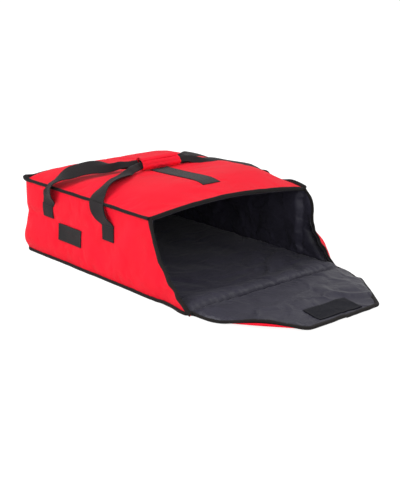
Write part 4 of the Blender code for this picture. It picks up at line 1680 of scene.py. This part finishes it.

# %% [markdown]
# Each strap leaves its sewn end flat on the wall, swings out and up over the edge, and runs to the grip,
# where its webbing is folded double. A route is a few listed points between the wall and the
# grip, joined by a smooth curve. On the right the straps hang lower and hug the dome.

# %% The routes of the straps
STRAP_WIDTH = 0.038
GRIP_LOW, GRIP_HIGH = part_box("grip_wrap")
GRIP_HALF = GRIP_HIGH.x
GRIP_Y, GRIP_Z = (GRIP_LOW.y + GRIP_HIGH.y) / 2, (GRIP_LOW.z + GRIP_HIGH.z) / 2
STRAP_PARTING = 0.0170
ROUTE_POINTS = 90
INSIDE_GRIP = 0.0400
ROW_TILT = 0.0014
ROUTES = {
    ("front", LEFT): [(1.00, 0.0, -0.03), (1.045, 0.076, 0.12), (1.058, 0.168, 0.274), (1.037, 0.28, 0.435),
                      (0.969, 0.40, 0.606), (0.827, 0.524, 0.766), (0.598, 0.658, 0.88), (0.321, 0.80, 0.96),
                      (0.04, 0.96, 0.996)],
    ("rear", LEFT): [(1.00, 0.0, -0.03), (1.019, 0.09, 0.155), (1.06, 0.167, 0.344), (1.05, 0.218, 0.55),
                     (0.965, 0.34, 0.741), (0.786, 0.482, 0.905), (0.553, 0.646, 0.995), (0.298, 0.84, 1.0),
                     (0.05, 0.98, 0.99)],
    ("front", RIGHT): [(1.00, 0.0, -0.03), (1.06, 0.0, 0.15), (1.11, 0.01, 0.34), (1.12, 0.07, 0.52),
                       (1.05, 0.20, 0.648), (0.92, 0.38, 0.740), (0.72, 0.60, 0.822), (0.46, 0.83, 0.903),
                       (0.20, 0.96, 0.98)],
    ("rear", RIGHT): [(1.00, 0.0, -0.03), (1.03, 0.10, 0.10), (1.04, 0.20, 0.28), (1.02, 0.30, 0.47),
                      (0.93, 0.42, 0.64), (0.78, 0.54, 0.77), (0.56, 0.68, 0.830), (0.33, 0.84, 0.890),
                      (0.13, 0.97, 0.955)],
}
ROW = {"front": GRIP_Y - STRAP_PARTING / 2, "rear": GRIP_Y + STRAP_PARTING / 2}
ROW_Z = {"front": GRIP_Z - ROW_TILT, "rear": GRIP_Z + ROW_TILT}


def strap_route(strap, side):
    """Half a strap, drawn on the left, from its sewn end to the middle of the grip."""
    low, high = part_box(f"{strap}_strap_left_end")
    start = Vector(((low.x + high.x) / 2, (low.y + high.y) / 2 + SEWN_SHIFT, high.z))
    end = Vector((-GRIP_HALF, ROW[strap], ROW_Z[strap]))
    points = [(end.x - out * (end.x - start.x), mix(start.y, end.y, along), mix(start.z, end.z, up))
              for out, along, up in ROUTES[strap, side]]
    points.append(end)
    points.append((-INSIDE_GRIP, end.y, end.z))
    return [catmull_rom(points, i / ROUTE_POINTS) for i in range(ROUTE_POINTS + 1)]


# %% [markdown]
# The webbing's section starts flat, and near the grip its two halves close downwards like a tent. The
# section is walked step by step with a turning direction, so that its width never changes. Once it is
# nearly closed, it leans over to lie in the grip.

# %% Webbing that folds double
FOLD_BEND = 0.0026
CLOSED, LEANED = math.radians(87), math.radians(52)
SECTION_CELLS = 16


def folded_section(fold):
    """Points across the webbing, flat when fold is 0 and doubled when it is 1."""
    place, step = Vector((0, 0)), STRAP_WIDTH / SECTION_CELLS
    points = [place.copy()]
    for i in range(SECTION_CELLS):
        middle = (i + 0.5) * step - STRAP_WIDTH / 2
        turn = CLOSED * fold * (1 - 2 * ramp(middle, -FOLD_BEND, FOLD_BEND)) - LEANED * ramp(fold, 0.5, 1.0)
        place += Vector((math.cos(turn), math.sin(turn))) * step
        points.append(place.copy())
    centre = sum(points, Vector((0, 0))) / len(points)
    return [p - centre for p in points]


TWISTS = {
    ("front", LEFT): [(0.0, 0.0), (0.06, 0.0), (0.24, 0.06), (0.47, -0.40), (0.70, -0.20), (0.97, 0.17)],
    ("rear", LEFT): [(0.0, 0.0), (0.04, 0.0), (0.24, -0.48), (0.47, 0.39), (0.70, 0.58), (0.97, 0.17)],
    ("front", RIGHT): [(0.0, 0.0), (0.06, 0.0), (0.24, 0.25), (0.47, 0.12), (0.70, 0.30), (0.97, 0.17)],
    ("rear", RIGHT): [(0.0, 0.0), (0.35, 0.0), (0.68, 0.50), (0.97, 0.17)],
}
STRAP_CUP = 0.0010
FOLD_START, FOLD_END = 0.60, 0.99
PRESSED = 0.16
STRAP_STEP = 0.0030


def strap_half(strap, side):
    route = even(strap_route(strap, side), STRAP_STEP)
    at, length = along_points(route), length_of(route)
    last_out = next(i for i, p in enumerate(route) if p.x > -GRIP_HALF) / (len(route) - 1)

    def place(u, v):
        here, way = at(v)
        way = UP.lerp(way, min(1.0, v / 0.05)).normalized()
        across = (Vector((0, 1, 0)) - way.y * way).normalized()
        through = way.cross(across)
        near = v / last_out
        twist = eased(TWISTS[strap, side], near)
        across, through = (across * math.cos(twist) + through * math.sin(twist),
                           through * math.cos(twist) - across * math.sin(twist))
        fold = ramp(near, FOLD_START, FOLD_END)
        flat, tall = folded_section(fold)[round(u * SECTION_CELLS)] * (1 - PRESSED * fold)
        tall += STRAP_CUP * (1 - (2 * u - 1) ** 2) * (1 - fold) * ramp(v, 0.0, 0.15)
        return handed(here + across * flat + through * tall, side), (u - 0.5) * STRAP_WIDTH, v * length

    name = "left" if side == LEFT else "right"
    half = cloth_sheet(f"{strap}_strap_{name}", (SECTION_CELLS, round(length / STRAP_STEP)), place, WEBBING,
                       (0, 0, 1), 18 + side)
    thicken(half, WEB_THICKNESS, 0.0)
    stand_for(half, "webbing", f"{strap}_strap")
    first, end = handed(route[0], side), handed(Vector((-GRIP_HALF, route[0].y, GRIP_Z)), side)
    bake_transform(half, "bag", "handle", start=first, end=end)
    return half


for strap, side in ROUTES:
    strap_half(strap, side)
print("the straps reach the grip")

# %% [markdown]
# The grip is a cloth sleeve over a foam pad. The sleeve is an oval tube that opens along a flap behind,
# held by hook and loop tape. It is quilted along two lines in front, and its ends are hemmed. Angles go
# round its section, from the top towards the rear.

# %% The grip's section
WRAP_START, WRAP_END = math.radians(170), math.radians(526)
FLAP_START, FLAP_END = math.radians(-20), math.radians(104)
TAPE_START, TAPE_END = math.radians(44), math.radians(98)
QUILT_ANGLES = (math.radians(-58), math.radians(-108))
LOOP_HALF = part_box("grip_loop_tape")[1].x
PAD_LOW, PAD_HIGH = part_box("grip_padding")
PAD_REACH = ((PAD_HIGH.y - PAD_LOW.y) / 2, (PAD_HIGH.z - PAD_LOW.z) / 2)
AROUND_RADIUS = (PAD_REACH[0] + PAD_REACH[1]) / 2
GRIP_CELL = 0.0016
SLEEVE_THICKNESS = 0.0012
GRIP_TILT = math.radians(10)
END_SKEW = 0.0140
GRIP_SHIFT = 0.0052


def oval(angle, out):
    flat, tall = (PAD_REACH[0] + out) * math.sin(angle), (PAD_REACH[1] + out) * math.cos(angle)
    return (GRIP_Y + flat * math.cos(GRIP_TILT) - tall * math.sin(GRIP_TILT),
            GRIP_Z + flat * math.sin(GRIP_TILT) + tall * math.cos(GRIP_TILT))


def face_out(piece):
    """Turns the faces of a tube round the grip away from its middle."""
    middle = Vector((0, GRIP_Y, GRIP_Z))
    ways = [face.normal.dot((face.center - middle) * Vector((0, 1, 1))) for face in piece.data.polygons]
    if sum(ways) < 0:
        piece.data.flip_normals()
    return piece


def turned_apart(angle, other):
    return abs((angle - other + math.pi) % (2 * math.pi) - math.pi)


def sleeve_out(angle, x):
    """How far the sleeve stands out from the foam: quilted, hemmed and a little crumpled."""
    quilt = sum(0.0013 * bump(turned_apart(angle, line), 0, 0.13) for line in QUILT_ANGLES)
    hem = 0.0006 * ramp(abs(x), GRIP_HALF - 0.0075, GRIP_HALF - 0.0065)
    puff = 0.0009 * math.cos(math.pi * x / (2 * GRIP_HALF))
    place = (x, angle * AROUND_RADIUS, 0)
    out = 0.0010 + puff + hem - quilt
    return out + 0.0008 * wander(place, 0.016, 83.0) + 0.0004 * wander(place, 0.007, 85.0)


def flap_out(angle, x):
    rise = ramp(angle, FLAP_START, FLAP_START + 0.25)
    return mix(0.0030, 0.0044, rise) + 0.0006 * wander((x, angle * AROUND_RADIUS, 0), 0.02, 87.0)


def grip_place(start, end, half, out):
    """The place function of anything that lies round the grip."""

    def place(u, v):
        angle = mix(start, end, u)
        x = mix(-half + END_SKEW * (0.5 + 0.5 * math.sin(angle)) * (half > LOOP_HALF), half, v)
        y, z = oval(angle, out(angle, x))
        return Vector((x + GRIP_SHIFT, y, z)), angle * AROUND_RADIUS, x

    return place


def under_flap(across, along):
    """True where the sleeve is quilted down or lies below the closed flap."""
    angle = across / AROUND_RADIUS - 2 * math.pi
    quilted = any(turned_apart(angle, line) < 0.10 for line in QUILT_ANGLES)
    return quilted or FLAP_START - 0.12 < angle < FLAP_END + 0.12


# %% [markdown]
# Five things lie round the grip: the foam, the sleeve, its loop tape, the flap's hook tape and the flap.
# The sleeve, the foam and the loop tape belong to the handle, and the other two swing with the flap.

# %% The grip
GRIP_TAPE = 0.0007
FOAM_THICKNESS = 0.0030
AROUND_GRIP = (
    # The foam's near-black finish is painted shade for the grip's open ends.
    ("grip_foam", 0, 2 * math.pi, GRIP_HALF - 0.004, lambda angle, x: -0.0012, FOAM_THICKNESS, PAINTED_SHADE_FOAM, 19),
    ("grip_sleeve", WRAP_START, WRAP_END, GRIP_HALF, sleeve_out, SLEEVE_THICKNESS, RED_CLOTH, 20),
    ("grip_loop", TAPE_START, TAPE_END, LOOP_HALF, lambda angle, x: 0.0027, GRIP_TAPE, LOOP_FUZZ, 22),
    ("grip_hook", TAPE_START, TAPE_END, LOOP_HALF, lambda angle, x: 0.0033, 0.0005, HOOK_ROWS, 23),
    ("grip_flap_cloth", FLAP_START, FLAP_END, GRIP_HALF, flap_out, SLEEVE_THICKNESS, RED_CLOTH, 21),
)
GRIP_ROLES = {
    "grip_foam": ("foam", "grip_padding", "handle"),
    "grip_sleeve": ("red_cloth", "grip_wrap", "handle"),
    "grip_loop": ("loop_tape", "grip_loop_tape", "handle"),
    "grip_hook": ("hook_tape", "grip_hook_tape", "grip_flap"),
    "grip_flap_cloth": ("red_cloth", "grip_flap", "grip_flap"),
}
for name, start, end, half, out, thickness, finish, layer in AROUND_GRIP:
    cells = cells_of((end - start) * AROUND_RADIUS, 2 * half, GRIP_CELL)
    piece = face_out(cloth_sheet(name, cells, grip_place(start, end, half, out), finish, (0, 0, 1), layer))
    if name == "grip_sleeve":
        settle(piece, under_flap, slack=0.03, swell=1.0, cap=0.0012)
    thicken(piece, thickness)
    slot, node, body = GRIP_ROLES[name]
    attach(stand_for(piece, slot, node), body)
    if name == "grip_foam":
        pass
    elif finish is RED_CLOTH:
        declare_sheet(piece)


def along_grip(angle, above):
    points = []
    for i in range(40):
        x = mix(-GRIP_HALF + 0.003, GRIP_HALF - 0.003, i / 39)
        y, z = oval(angle, sleeve_out(angle, x) + above)
        points.append(Vector((x + GRIP_SHIFT, y, z)))
    return points


for i, angle in enumerate(QUILT_ANGLES):
    normal = (0, math.sin(angle), math.cos(angle))
    sewing(f"grip_stitches_{i + 1}", [along_grip(angle, 0.0)], normal, RED_THREAD, "handle")
seam_line = [Vector((mix(-0.200, 0.196, i / 60), SEAM_Y + 0.0004, GROOVE_Z - 0.0004)) for i in range(61)]
sewing("front_panel_seam_stitches", [seam_line], (0, 0, 1), DARK_THREAD, "front_panel")
print("the grip is dressed and the front panel's seam is stitched")
